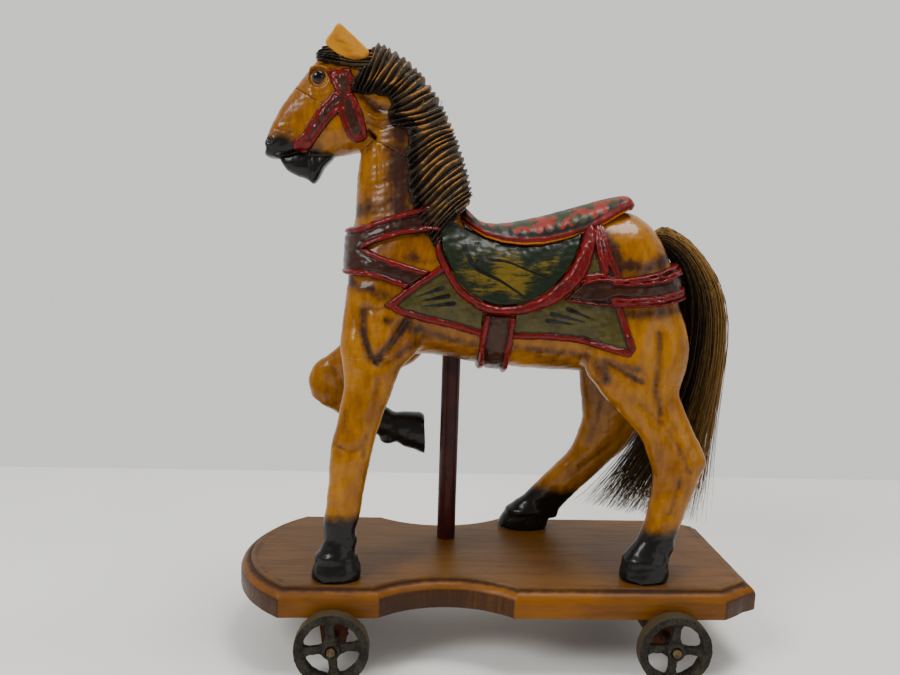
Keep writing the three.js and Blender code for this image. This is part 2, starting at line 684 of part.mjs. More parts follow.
/** Trunk, neck, head and legs. */
function buildHorse(screws) {
  const poleHole = rod('z', pole.radius + GAP, 150, pole.top + GAP, [pole.x, pole.y], 24);
  const tailRoot = limb(tailRows, { count: 15, sides: 12, power: 2, grow: GAP });
  piece('trunk', without(trunk(0), [poleHole, tailRoot]), paint.honey);

  const below = sideOfSeam(seams.head, false);
  const above = sideOfSeam(seams.head, true);
  const eyes = [eyeball(1, GAP), eyeball(-1, GAP)];
  const ears = [ear(1, GAP), ear(-1, GAP)];
  const crown = without(joined([neck(0), skull(0)]).intersect(above), [...eyes, ...ears]);
  piece('head_crown', mainBody(crown), paint.honey);
  piece('head_face', mainBody(skull(0).intersect(below)), paint.honey);
  piece('neck', mainBody(without(neck(0).intersect(below), [trunk(GAP), skull(GAP)])), paint.honey);

  const upperSeams = { left_front: 'front', left_hind: 'hind', right_hind: 'hind' };
  const floorCut = sidePrism([[-200, 0], [200, 0], [200, 54.9], [-200, 54.9]], -100, 100);
  for (const [name, seam] of Object.entries(upperSeams)) {
    const lower = leg(name, 0).intersect(sideOfSeam(seams[seam], false));
    piece(`${name}_leg`, mainBody(without(lower, [trunk(GAP), floorCut, ...screws])), paint.honey);
  }
  const raised = joined([leg('forearm', 0), leg('cannon', 0)]).intersect(sideOfSeam(seams.front, false));
  piece('right_front_leg', mainBody(raised.subtract(trunk(GAP))), paint.honey);
  piece('pole', without(rod('z', pole.radius, pole.bottom, pole.top, [pole.x, pole.y], 24), screws),
    paint.maroon);
}

/** Glass eye: a flattened ball let into the head. */
function eyeball(sign, grow) {
  const geometry = new THREE.SphereGeometry(1, 12, 8);
  geometry.scale(3.2 + grow, 4.3 + grow, 4.3 + grow);
  geometry.translate(sign * 12.6, -117, 359);
  return toSolid(geometry);
}

/** Pointed ear: a thin leaf that leans out from the poll. */
function ear(sign, grow) {
  const thickness = 3.6 + 2 * grow;
  const outline = smoothThrough([[-104.5, 392.5], [-99, 389], [-91.5, 382.5], [-86.8, 377.5], [-88, 373.5],
    [-95, 372.2], [-102.5, 373.8], [-109.5, 378.3], [-112.5, 381.8], [-108.5, 388], [-104.5, 392.5]], 20);
  outline.pop();
  const solid = sidePrism(outline.reverse(), -thickness / 2, thickness / 2);
  const lean = 0.16 * sign;
  const rootZ = 373;
  const placed = toGeometry(solid);
  placed.translate(0, 0, -rootZ);
  placed.rotateY(-lean);
  placed.translate(sign * 14.2, 0, rootZ);
  return toSolid(placed);
}

/** Eyes, ears, mane, forelock and tail. */
function buildHeadDress() {
  for (const [side, sign] of [['left', 1], ['right', -1]]) {
    piece(`${side}_eye`, eyeball(sign, 0), paint.glass);
    piece(`${side}_ear`, ear(sign, 0), paint.ochre);
  }
  const ears = [ear(1, GAP), ear(-1, GAP)];
  const forelock = reliefOver(outlines.forelock, relief.forelock, ACROSS);
  piece('forelock', mainBody(without(forelock, ears)), paint.mane);
  const deepNeck = limb(maneRows, { ...limbDetail.neck, grow: relief.mane });
  const mane = deepNeck.intersect(sidePrism(outlines.mane.slice().reverse(), -60, 60));
  piece('mane', mainBody(without(mane, [skin(GAP), ...ears])), paint.mane);
  piece('tail', limb(tailRows, { count: 15, sides: 12, power: 2 }), paint.hair);
}

/** Saddle seat with its raised cantle, hollowed to sit on the back. */
function seatSolid() {
  const rows = seatRows.map(([y, top, rim, halfWidth]) => [y, top, y, 2 * rim - top, 0, halfWidth]);
  return limb(rows, { count: 13, sides: 16, power: 2.2 });
}

/** Saddle, cloth, girth, collar, breeching and bridle. */
function buildHarness() {
  const seat = seatSolid();
  const seatClearance = limb(seatRows.map(([y, top, rim, halfWidth]) => (
    [y, top, y, 2 * rim - top, 0, halfWidth])), { count: 13, sides: 16, power: 2.2, grow: GAP });
  const mane = limb(maneRows, { ...limbDetail.neck, grow: relief.mane + GAP })
    .intersect(sidePrism(outlines.mane.slice().reverse(), -60, 60));
  piece('saddle_seat', mainBody(without(seat, [skin(GAP), mane])), paint.seat);
  const underSaddle = sidePrism(insetOutline(crescentOuter, -GAP), ...ACROSS);
  for (const [side, span] of SIDES) {
    const cut = (outline, thickness, others) => (
      mainBody(without(reliefOver(outline, thickness, span), others)));
    piece(`${side}_saddle_flap`, cut(outlines.flap, relief.flap, [seatClearance, mane]), paint.green);
    piece(`${side}_flap_border`, cut(outlines.crescent, relief.crescent, [seatClearance, mane]), paint.red);
    piece(`${side}_front_cloth`, cut(outlines.frontCloth, relief.cloth, [underSaddle]), paint.olive);
    piece(`${side}_rear_cloth`, cut(outlines.rearCloth, relief.cloth, [underSaddle]), paint.olive);
    piece(`${side}_bridle`, cut(outlines.bridle, relief.bridle, [seatClearance]), paint.red);
  }
  const wrap = (name, outline) => {
    piece(name, mainBody(without(reliefOver(outline, relief.strap, ACROSS), [mane, underSaddle])), paint.strap);
  };
  wrap('girth', outlines.girth);
  wrap('upper_collar', outlines.upperCollar);
  wrap('lower_collar', outlines.lowerCollar);
  wrap('breeching', outlines.breeching);
}

const { screws } = buildRunningGear();
buildHorse(screws);
buildHeadDress();
buildHarness();

export default toy;
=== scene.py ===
"""A carved and painted wooden horse on a rolling platform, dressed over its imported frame."""

import logging
import math
from dataclasses import dataclass, field
from enum import Enum
from functools import cache
from typing import Sequence

import bpy
import numpy as np
import openvdb as vdb
from mathutils import Matrix, Vector


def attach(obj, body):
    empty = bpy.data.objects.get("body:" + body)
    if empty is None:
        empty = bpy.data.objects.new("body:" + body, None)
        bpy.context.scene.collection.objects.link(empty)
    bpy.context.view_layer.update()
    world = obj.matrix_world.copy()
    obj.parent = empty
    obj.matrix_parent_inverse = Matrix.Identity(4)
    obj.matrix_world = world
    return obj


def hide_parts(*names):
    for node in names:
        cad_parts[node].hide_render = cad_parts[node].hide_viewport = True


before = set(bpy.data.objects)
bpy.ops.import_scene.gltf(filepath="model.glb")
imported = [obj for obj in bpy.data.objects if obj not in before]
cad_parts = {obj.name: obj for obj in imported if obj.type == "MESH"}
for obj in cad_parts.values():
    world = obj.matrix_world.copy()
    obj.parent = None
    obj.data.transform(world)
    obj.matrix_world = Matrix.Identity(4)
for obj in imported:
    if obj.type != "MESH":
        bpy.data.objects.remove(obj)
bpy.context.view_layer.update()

MM = 0.001
BAND = 10.0
HORSE = "horse_and_platform"
Array = np.ndarray
Line = Sequence[tuple[float, float]]
Row = tuple[float, ...]
log = logging.getLogger("horse")


# ---- plain numbers


def eased(low: float, high: float, value: Array) -> Array:
    """0 below low, 1 above high, and a smooth step between them."""
    t = np.clip((value - low) / (high - low), 0.0, 1.0)
    return t * t * (3.0 - 2.0 * t)


def soft_min(a: Array, b: Array, reach: float) -> Array:
    """The smaller of two distances, with the crease between them filled over a reach."""
    h = np.clip(0.5 + 0.5 * (b - a) / reach, 0.0, 1.0)
    return b + (a - b) * h - reach * h * (1.0 - h)


def soft_max(a: Array, b: Array, reach: float) -> Array:
    """The larger of two distances, with the edge between them rounded over a reach."""
    return -soft_min(-a, -b, reach)


def catmull_rom(rows: Array, count: int) -> Array:
    """Rows spaced evenly along a table, each column following a smooth curve.

    Args:
        rows: the table, one row for each station.
        count: how many rows to return.

    Returns:
        An array of count rows.
    """
    table = np.asarray(rows, float)
    last = len(table) - 1
    along = np.linspace(0.0, last, count)
    k = np.minimum(np.floor(along).astype(int), last - 1)
    t = (along - k)[:, None]
    a, b, c, d = (table[np.clip(k + shift, 0, last)] for shift in (-1, 0, 1, 2))
    slope_b, slope_c = (c - a) / 2, (d - b) / 2
    cubic = (2 * b - 2 * c + slope_b + slope_c) * t**3
    return cubic + (3 * c - 3 * b - 2 * slope_b - slope_c) * t**2 + slope_b * t + b


def line_distance(y: Array, z: Array, line: Line) -> Array:
    """Distance in the side view to an open line of points.

    Args:
        y, z: places in the side view.
        line: the points.

    Returns:
        The distance at each place.
    """
    nearest = np.full(np.broadcast(y, z).shape, 1e6, np.float32)
    for (y0, z0), (y1, z1) in zip(line[:-1], line[1:]):
        dy, dz = y1 - y0, z1 - z0
        t = np.clip(((y - y0) * dy + (z - z0) * dz) / (dy * dy + dz * dz + 1e-9), 0.0, 1.0)
        np.minimum(nearest, np.hypot(y - y0 - t * dy, z - z0 - t * dz), out=nearest)
    return nearest


def outline_distance(y: Array, z: Array, outline: Line) -> Array:
    """Distance in the side view to a closed outline.

    Args:
        y, z: places in the side view.
        outline: its corners in order.

    Returns:
        The distance at each place, negative inside.
    """
    closed = [*outline, outline[0]]
    inside = np.zeros(np.broadcast(y, z).shape, bool)
    for (y0, z0), (y1, z1) in zip(closed[:-1], closed[1:]):
        if z0 != z1:
            crossing = (y1 - y0) * (z - z0) / (z1 - z0) + y0
            inside ^= ((z0 > z) != (z1 > z)) & (y < crossing)
    distance = line_distance(y, z, closed)
    return np.where(inside, -distance, distance)


def smooth_line(line: Line, count: int) -> list[tuple[float, ...]]:
    """A smooth line through the points of a rough one."""
    return [tuple(place) for place in catmull_rom(line, count)]


def bell(distance: Array, width: float) -> Array:
    """1 at nought, falling smoothly away on both sides of it."""
    return np.exp(-((distance / width) ** 2))


def dome(inside: Array, reach: float) -> Array:
    """0 on an outline and beyond it, rising like a quarter circle to 1 a reach inside it."""
    return np.sqrt(np.clip(1 - (1 + np.clip(inside / reach, -1, 0)) ** 2, 0, 1))


def common(*distances: Array) -> Array:
    """Distances to what several shapes have in common."""
    return np.maximum.reduce(np.broadcast_arrays(*distances))


def waves(y: Array, z: Array, size: float, seed: int) -> Array:
    """Gentle random unevenness in the side view.

    Args:
        y, z: places in the side view.
        size: length of a wave, in mm.
        seed: sets the waves.

    Returns:
        Numbers between about -1 and 1.
    """
    rng = np.random.default_rng(seed)
    total = np.zeros(np.broadcast(y, z).shape, np.float32)
    for _ in range(7):
        angle, phase, stretch = rng.uniform(0, 2 * math.pi), rng.uniform(0, 9), rng.uniform(0.6, 1.7)
        total += np.sin((y * math.cos(angle) + z * math.sin(angle)) * stretch * 6.283 / size + phase)
    return total / 4.0


# ---- meshes


@dataclass
class Form:
    """Points in mm, faces of one size, and named marks that the finishes read.

    Attributes:
        points: one row for each point.
        faces: one row of point numbers for each face.
        marks: a number for each point under each name.
    """

    points: Array
    faces: Array
    marks: dict[str, Array] = field(default_factory=dict)

    def build(self, name: str) -> bpy.types.Object:
        """Makes the Blender object of this form.

        Args:
            name: the piece's name.

        Returns:
            The linked object, smooth shaded.
        """
        mesh = bpy.data.meshes.new(name)
        corners = self.faces.shape[1]
        mesh.vertices.add(len(self.points))
        mesh.vertices.foreach_set("co", (self.points * MM).astype(np.float32).ravel())
        mesh.loops.add(self.faces.size)
        mesh.loops.foreach_set("vertex_index", self.faces.astype(np.int32).ravel())
        mesh.polygons.add(len(self.faces))
        mesh.polygons.foreach_set("loop_start", np.arange(0, self.faces.size, corners, dtype=np.int32))
        for key, values in self.marks.items():
            mark = mesh.attributes.new(key, "FLOAT", "POINT")
            mark.data.foreach_set("value", np.asarray(values, np.float32).ravel())
        mesh.update(calc_edges=True)
        mesh.validate()
        mesh.shade_smooth()
        made = bpy.data.objects.new(name, mesh)
        bpy.context.scene.collection.objects.link(made)
        return made


def ring_faces(rings: int, sides: int) -> Array:
    """Triangles of a closed skin over rings of points, with a fan on each end.

    Args:
        rings: how many rings.
        sides: how many points each ring has.

    Returns:
        Rows of three point numbers; the two fan centres come last in the points.
    """
    first = (np.arange(rings - 1)[:, None] * sides + np.arange(sides)[None, :]).ravel()
    after = (np.arange(rings - 1)[:, None] * sides + (np.arange(sides)[None, :] + 1) % sides).ravel()
    skin = np.vstack([
        np.stack([first, after, first + sides], 1),
        np.stack([after, after + sides, first + sides], 1),
    ])
    rim = np.arange(sides)
    turn = (rim + 1) % sides
    start, end = np.full(sides, rings * sides), np.full(sides, rings * sides + 1)
    last = (rings - 1) * sides
    caps = np.vstack([np.stack([start, turn, rim], 1), np.stack([end, last + rim, last + turn], 1)])
    return np.vstack([skin, caps])


@dataclass(frozen=True)
class Limb:
    """A carved limb through rows of ovals.

    Attributes:
        rows: front y and z, back y and z, middle x and half width of each oval.
        rings: how many ovals the skin has.
        sides: how many points each oval has.
        power: 2 is an ellipse, and more is squarer.
    """

    rows: Sequence[Row]
    rings: int = 60
    sides: int = 40
    power: float = 2.3

    def form(self) -> Form:
        """The closed skin of the limb."""
        table = catmull_rom(self.rows, self.rings)
        front = np.stack([table[:, 4], table[:, 0], table[:, 1]], 1)
        back = np.stack([table[:, 4], table[:, 2], table[:, 3]], 1)
        centre = (front + back) / 2
        length = np.linalg.norm(front - back, axis=1, keepdims=True)
        along = (front - back) / length
        angle = np.arange(self.sides) / self.sides * 2 * math.pi
        lengthways = np.sign(np.cos(angle)) * np.abs(np.cos(angle)) ** (2 / self.power)
        sideways = np.sign(np.sin(angle)) * np.abs(np.sin(angle)) ** (2 / self.power)
        points = centre[:, None, :] + (along * length / 2)[:, None, :] * lengthways[None, :, None]
        points[:, :, 0] += table[:, 5:6] * sideways[None, :]
        flat = np.vstack([points.reshape(-1, 3), centre[0], centre[-1]])
        return Form(flat, ring_faces(self.rings, self.sides))


class Block:
    """A box of evenly spaced samples that distances to a shape are kept on, in mm."""

    def __init__(self, low: Row, high: Row, step: float) -> None:
        """Sets out the samples.

        Args:
            low: lowest x, y and z.
            high: highest x, y and z.
            step: spacing.
        """
        self.low, self.step = np.asarray(low, float), step
        self.shape = tuple(int(math.ceil((h - l) / step)) + 1 for l, h in zip(low, high))
        axes = [(self.low[i] + step * np.arange(self.shape[i])).astype(np.float32) for i in range(3)]
        self.x = axes[0][:, None, None]
        self.y = axes[1][None, :, None]
        self.z = axes[2][None, None, :]

    def distance(self, form: Form) -> Array:
        """Distance to a closed form at every sample.

        Args:
            form: a skin of triangles.

        Returns:
            Distances, negative inside.
        """
        points = ((form.points - self.low) / self.step).astype(np.float64)
        grid = vdb.FloatGrid.createLevelSetFromPolygons(
            points, triangles=form.faces.astype(np.uint32),
            transform=vdb.createLinearTransform(1.0), halfWidth=BAND)
        values = np.empty(self.shape, np.float32)
        grid.copyToArray(values)
        return values * np.float32(self.step)

    def resampled(self, values: Array, other: "Block") -> Array:
        """Values of this block at another block's samples, blended linearly.

        Args:
            values: what is kept on this block.
            other: the block whose samples are wanted.

        Returns:
            An array of the other block's shape.
        """
        for axis in range(3):
            place = other.low[axis] + other.step * np.arange(other.shape[axis])
            index = np.clip((place - self.low[axis]) / self.step, 0, self.shape[axis] - 1.001)
            k = index.astype(int)
            t = (index - k).astype(np.float32).reshape([-1 if i == axis else 1 for i in range(3)])
            values = np.take(values, k, axis) * (1 - t) + np.take(values, k + 1, axis) * t
        return values

    def ball(self, centre: Row, radii: Row) -> Array:
        """Rough distance to an ellipsoid at every sample."""
        parts = [(axis - c) / r for axis, c, r in zip((self.x, self.y, self.z), centre, radii)]
        return (np.sqrt(parts[0] ** 2 + parts[1] ** 2 + parts[2] ** 2) - 1) * min(radii)

    def skin(self, values: Array) -> Form:
        """The surface where the distance is nought.

        Args:
            values: distances at every sample, negative inside.

        Returns:
            A form of four-sided faces that look outwards.
        """
        most = 3.0 * self.step
        sealed = np.clip(values, -most, most).astype(np.float32)
        for axis in range(3):
            for side in (0, -1):
                edge = [slice(None)] * 3
                edge[axis] = side
                sealed[tuple(edge)] = most
        grid = vdb.FloatGrid(most)
        grid.copyFromArray(sealed, tolerance=0.0)
        points, quads = grid.convertToQuads(0.0)
        points = points * self.step + self.low
        a, b, c, d = (points[quads[:, i]] for i in range(4))
        volume = np.einsum("ij,ij->i", a, np.cross(b, c) + np.cross(c, d)).sum()
        return Form(points, quads if volume > 0 else quads[:, ::-1])


# ---- shader tools

GLOSS = 0.18


def paint(red: int, green: int, blue: int) -> tuple[float, float, float, float]:
    """A colour from its red, green and blue in 0 to 255, as the eye sees them."""
    values = [c / 255 for c in (red, green, blue)]
    return (*[c / 12.92 if c <= 0.04045 else ((c + 0.055) / 1.055) ** 2.4 for c in values], 1.0)


class Wire:
    """A value that runs between nodes, with arithmetic."""

    def __init__(self, nodes: "Nodes", socket: bpy.types.NodeSocket | None) -> None:
        """Wraps one output socket of a node.

        Args:
            nodes: the tree that the node is in.
            socket: the output, or None if it has none.
        """
        self.nodes, self.socket = nodes, socket

    def _with(self, operation: str, a: object, b: object) -> "Wire":
        """One Math node."""
        return self.nodes.node("Math", {"operation": operation}, {0: a, 1: b})

    def __add__(self, other: object) -> "Wire":
        """self + other."""
        return self._with("ADD", self, other)

    __radd__ = __add__

    def __sub__(self, other: object) -> "Wire":
        """self - other."""
        return self._with("SUBTRACT", self, other)

    def __rsub__(self, other: object) -> "Wire":
        """other - self."""
        return self._with("SUBTRACT", other, self)

    def __mul__(self, other: object) -> "Wire":
        """self * other."""
        return self._with("MULTIPLY", self, other)

    __rmul__ = __mul__

    def __pow__(self, other: object) -> "Wire":
        """self ** other."""
        return self._with("POWER", self, other)

    def step(self, low: float, high: float) -> "Wire":
        """A smooth step; low above high turns it round.

        Args:
            low: where it is 0.
            high: where it is 1.

        Returns:
            The wire of the step.
        """
        settings = {"interpolation_type": "SMOOTHSTEP", "clamp": True}
        if low < high:
            return self.nodes.node("MapRange", settings, {0: self, 1: low, 2: high})
        return 1.0 - self.nodes.node("MapRange", settings, {0: self, 1: high, 2: low})


class Nodes:
    """A node tree, with one way to add a node to it."""

    def __init__(self, tree: bpy.types.NodeTree) -> None:
        """Empties the tree."""
        self.tree = tree
        tree.nodes.clear()

    def node(self, kind: str, settings: dict, values: dict, out: int | str = 0) -> Wire:
        """Adds one node.

        Args:
            kind: the node's type, after ShaderNode.
            settings: its properties, set first.
            values: its inputs' wires or plain values, by name or place.
            out: which output to return.

        Returns:
            The wire from that output.
        """
        made = self.tree.nodes.new("ShaderNode" + kind)
        for key, value in settings.items():
            setattr(made, key, value)
        for key, value in values.items():
            if isinstance(value, Wire):
                self.tree.links.new(value.socket, made.inputs[key])
            else:
                made.inputs[key].default_value = value
        return Wire(self, made.outputs[out] if made.outputs else None)


class Shader(Nodes):
    """One material and the nodes that make it."""

    def __init__(self, name: str) -> None:
        """Makes the material, with no surface yet."""
        self.material = bpy.data.materials.new(name)
        self.material.use_nodes = True
        super().__init__(self.material.node_tree)
        self.place = self.node("TexCoord", {}, {}, "Object")

    def mark(self, name: str) -> Wire:
        """The named mark that the mesh carries."""
        return self.node("Attribute", {"attribute_name": name}, {}, out=2)

    def stretched(self, x: float, y: float, z: float) -> Wire:
        """The place on the object, scaled along each axis."""
        return self.node("Mapping", {}, {0: self.place, 3: (x, y, z)})

    def noise(self, scale: float, detail: float = 3.0, rough: float = 0.55,
              where: Wire | None = None) -> Wire:
        """Random cloudiness from 0 to 1, with scale waves to the metre."""
        values = {"Vector": where or self.place, "Scale": scale, "Detail": detail, "Roughness": rough}
        return self.node("TexNoise", {}, values)

    def blend(self, amount: object, below: object, above: object) -> Wire:
        """Lays one colour over another by an amount from 0 to 1."""
        settings = {"data_type": "RGBA", "clamp_factor": True}
        return self.node("Mix", settings, {0: amount, 6: below, 7: above}, out=2)

    def finish(self, colour: object, rough: object, height: Wire | None = None,
               depth: float = 0.0002, gloss: float = GLOSS, **plain: float) -> bpy.types.Material:
        """Sets the surface.

        Args:
            colour: the base colour.
            rough: the roughness.
            height: a wire from 0 to 1 that lifts the surface.
            depth: how far it lifts it, in metres.
            gloss: the strength of the shine under any coat.
            plain: other sockets' constant values, with _ for a space.

        Returns:
            The finished material.
        """
        values = {"Base Color": colour, "Roughness": rough, "Specular IOR Level": gloss}
        if height is not None:
            values["Normal"] = self.node("Bump", {}, {"Height": height, "Strength": 1.0, "Distance": depth})
        values |= {key.replace("_", " "): value for key, value in plain.items()}
        self.node("OutputMaterial", {}, {0: self.node("BsdfPrincipled", {}, values)})
        return self.material


# ---- finishes


@dataclass(frozen=True)
class HoneyPaint:
    """Amber varnish over wood, brown in the hollows, with painted shade under the belly and between the legs,
    and black feet and muzzle.
    """

    light: tuple = paint(158, 102, 2)
    deep: tuple = paint(116, 66, 0)
    brown: tuple = paint(50, 22, 7)
    black: tuple = paint(15, 13, 10)

    def material(self) -> bpy.types.Material:
        """Builds the finish; it reads the marks dark and black."""
        s = Shader("honey_paint")
        grain = s.noise(110, 5, 0.6, s.stretched(2.2, 2.2, 0.7))
        cloud = s.noise(26, 3)
        speck = s.noise(420, 3, 0.7, s.stretched(1.0, 1.0, 0.35))
        body = s.blend((cloud * 0.6 + grain * 0.5).step(0.36, 0.72), self.light, self.deep)
        blot = s.noise(110, 5, 0.62)
        # The mark dark holds the brown glaze in the cuts and painted shade under the belly and between the
        # legs; darkening lays both over the wood.
        darkening = s.mark("dark") * (blot * 1.5 + grain * 0.35) + (blot * 0.5 + cloud * 0.5).step(0.5, 0.74) * 0.5
        darkening = darkening + speck.step(0.62, 0.76) * 0.34
        stained = s.blend(darkening.step(0.12, 1.0), body, self.brown)
        covered = (s.mark("black") + (s.noise(160, 4) - 0.5) * 0.5).step(0.22, 0.8)
        colour = s.blend(covered, stained, self.black)
        rough = 0.2 + grain * 0.16 + darkening * 0.12 + covered * 0.05
        height = s.noise(700, 4, 0.6, s.stretched(1.0, 1.0, 0.4)) * 0.5 + cloud * 0.5
        return s.finish(colour, rough, height, 0.00022, Coat_Weight=0.22, Coat_Roughness=0.1)


@dataclass(frozen=True)
class BoardFinish:
    """Brown varnished board: dark step, dark end grain, a worn top and painted shadows round the hooves and
    the pole.
    """

    top: tuple = paint(100, 63, 9)
    side: tuple = paint(124, 73, 4)
    dark: tuple = paint(40, 19, 8)

    def material(self) -> bpy.types.Material:
        """Builds the finish; it reads the marks step, endgrain and side."""
        s = Shader("platform_wood")
        grain = s.noise(60, 6, 0.65, s.stretched(4.5, 0.35, 4.5))
        fine = s.noise(420, 4, 0.6, s.stretched(2.4, 0.22, 2.4))
        streak = s.noise(500, 4, 0.6, s.stretched(1.0, 1.0, 0.08))
        cloud = s.noise(15, 3)
        body = s.blend(s.mark("side"), self.top, self.side)
        body = s.blend((grain * 0.6 + fine * 0.4).step(0.44, 0.72) * 0.32, body, self.dark)
        body = s.blend((cloud + grain * 0.3).step(0.55, 0.85) * 0.42, body, self.dark)
        ends = s.mark("endgrain") * (streak * 0.7 + cloud * 0.7).step(0.2, 0.8)
        body = s.blend(ends * 0.85, body, self.dark)
        # The mark step also carries painted shadows on the deck round the hooves and the pole.
        edge = (s.mark("step") * (cloud * 1.1 + 0.3) + (s.noise(190, 4) - 0.5) * 0.8).step(0.25, 0.95)
        colour = s.blend(edge * 0.85, body, self.dark)
        rough = 0.34 + grain * 0.22 + edge * 0.15
        return s.finish(colour, rough, fine * 0.7 + grain * 0.5, 0.00025,
                        Coat_Weight=0.06, Coat_Roughness=0.25)


@dataclass(frozen=True)
class BrushedPaint:
    """One paint with brush unevenness: the pole, the axle blocks and the steel."""

    name: str
    colour: tuple
    shade: tuple
    rough: float = 0.35
    coat: float = 0.2
    metal: float = 0.0
    grit: float = 0.00015
    size: float = 120.0

    def material(self) -> bpy.types.Material:
        """Builds the finish."""
        s = Shader(self.name)
        cloud = s.noise(self.size, 4)
        fine = s.noise(self.size * 7, 4, 0.65)
        colour = s.blend((cloud * 0.7 + fine * 0.3).step(0.38, 0.66), self.colour, self.shade)
        rough = self.rough + (cloud - 0.5) * 0.3
        return s.finish(colour, rough, fine * 0.6 + cloud * 0.4, self.grit,
                        Coat_Weight=self.coat, Metallic=self.metal)


@dataclass(frozen=True)
class EarPaint:
    """Ochre paint, darker brown towards the root, with painted shade in the hollow."""

    ochre: tuple = paint(192, 128, 20)
    brown: tuple = paint(96, 50, 12)

    def material(self) -> bpy.types.Material:
        """Builds the finish; it reads the mark dark."""
        s = Shader("ear_paint")
        grain = s.noise(200, 4, 0.6, s.stretched(1.0, 0.5, 1.6))
        # The mark dark holds painted shade in the hollow and the darker brown towards the root.
        darkening = (s.mark("dark") + (grain - 0.5) * 0.9).step(0.35, 0.95)
        colour = s.blend(darkening, self.ochre, self.brown)
        return s.finish(colour, 0.28 + grain * 0.25, grain, 0.0002, Coat_Weight=0.15)


@dataclass(frozen=True)
class ManePaint:
    """Grey-black paint, rubbed back to ochre on the carved crests."""

    grey: tuple = paint(66, 50, 30)
    black: tuple = paint(22, 13, 9)
    ochre: tuple = paint(150, 100, 34)

    def material(self) -> bpy.types.Material:
        """Builds the finish; it reads the marks ridge and shade."""
        s = Shader("mane_paint")
        patch = s.noise(75, 4)
        fine = s.noise(520, 4, 0.7)
        ridge = s.mark("ridge")
        shade = (s.mark("shade") + (patch - 0.5) * 0.9).step(0.3, 0.8)
        base = s.blend((ridge + (fine - 0.5) * 0.5).step(0.1, 0.55), self.black, self.grey)
        base = s.blend(shade * 0.85, base, self.black)
        crest = (ridge + (patch - 0.5) * 1.3 + (fine - 0.5) * 0.3 - shade * 0.45).step(0.9, 1.06)
        colour = s.blend(crest, base, self.ochre)
        rough = 0.42 - shade * 0.2 + fine * 0.15
        return s.finish(colour, rough, fine, 0.00025, Coat_Weight=0.15, Coat_Roughness=0.2)


@dataclass(frozen=True)
class FlapPaint:
    """Dark green paint, dry brushed with yellow olive, with dark flourishes."""

    green: tuple = paint(20, 30, 14)
    olive: tuple = paint(102, 82, 14)
    black: tuple = paint(12, 15, 9)

    def material(self) -> bpy.types.Material:
        """Builds the finish; it reads the marks inside, line and top."""
        s = Shader("flap_paint")
        turned = s.node("Mapping", {}, {0: s.place, 2: (0.42, 0.0, 0.0), 3: (1.0, 0.5, 3.2)})
        brush = s.noise(210, 6, 0.75, turned)
        patch = s.noise(48, 3)
        cover = (brush * 1.3 + patch * 1.2 + s.mark("inside") * 0.35).step(1.5, 1.8)
        colour = s.blend(cover * 0.9, self.green, self.olive)
        colour = s.blend((s.mark("line") + (brush - 0.5) * 0.3).step(0.42, 0.58), colour, self.black)
        colour = s.blend(s.mark("top").step(0.35, 0.6), colour, self.black)
        return s.finish(colour, 0.3 + brush * 0.2, brush, 0.00018, Coat_Weight=0.1, Coat_Roughness=0.15)


@dataclass(frozen=True)
class BorderedPaint:
    """A painted panel or strap with a raised red border, dark in its grooves."""

    name: str
    middle: tuple
    shade: tuple
    red: tuple = paint(104, 4, 4)
    wine: tuple = paint(54, 6, 5)
    dark: tuple = paint(30, 11, 7)
    stroke: tuple = paint(16, 15, 12)
    strokes: bool = False

    def material(self) -> bpy.types.Material:
        """Builds the finish; it reads the marks rim, groove and stroke."""
        s = Shader(self.name)
        cloud = s.noise(85, 4)
        fine = s.noise(430, 4, 0.65)
        panel = s.blend((cloud * 0.7 + fine * 0.3).step(0.38, 0.66), self.middle, self.shade)
        if self.strokes:
            panel = s.blend((s.mark("stroke") + (fine - 0.5) * 0.2).step(0.44, 0.56), panel, self.stroke)
        border = s.blend((cloud * 0.6 + fine * 0.4).step(0.42, 0.68) * 0.8, self.red, self.wine)
        colour = s.blend((s.mark("rim") + (fine - 0.5) * 0.5).step(-0.12, 0.2), panel, border)
        darkening = (s.mark("groove") + (cloud - 0.5) * 0.7).step(0.35, 0.95)
        colour = s.blend(darkening * 0.9, colour, self.dark)
        rough = 0.22 + cloud * 0.2
        return s.finish(colour, rough, fine * 0.4 + cloud * 0.6, 0.0003, Coat_Weight=0.2, Coat_Roughness=0.1)


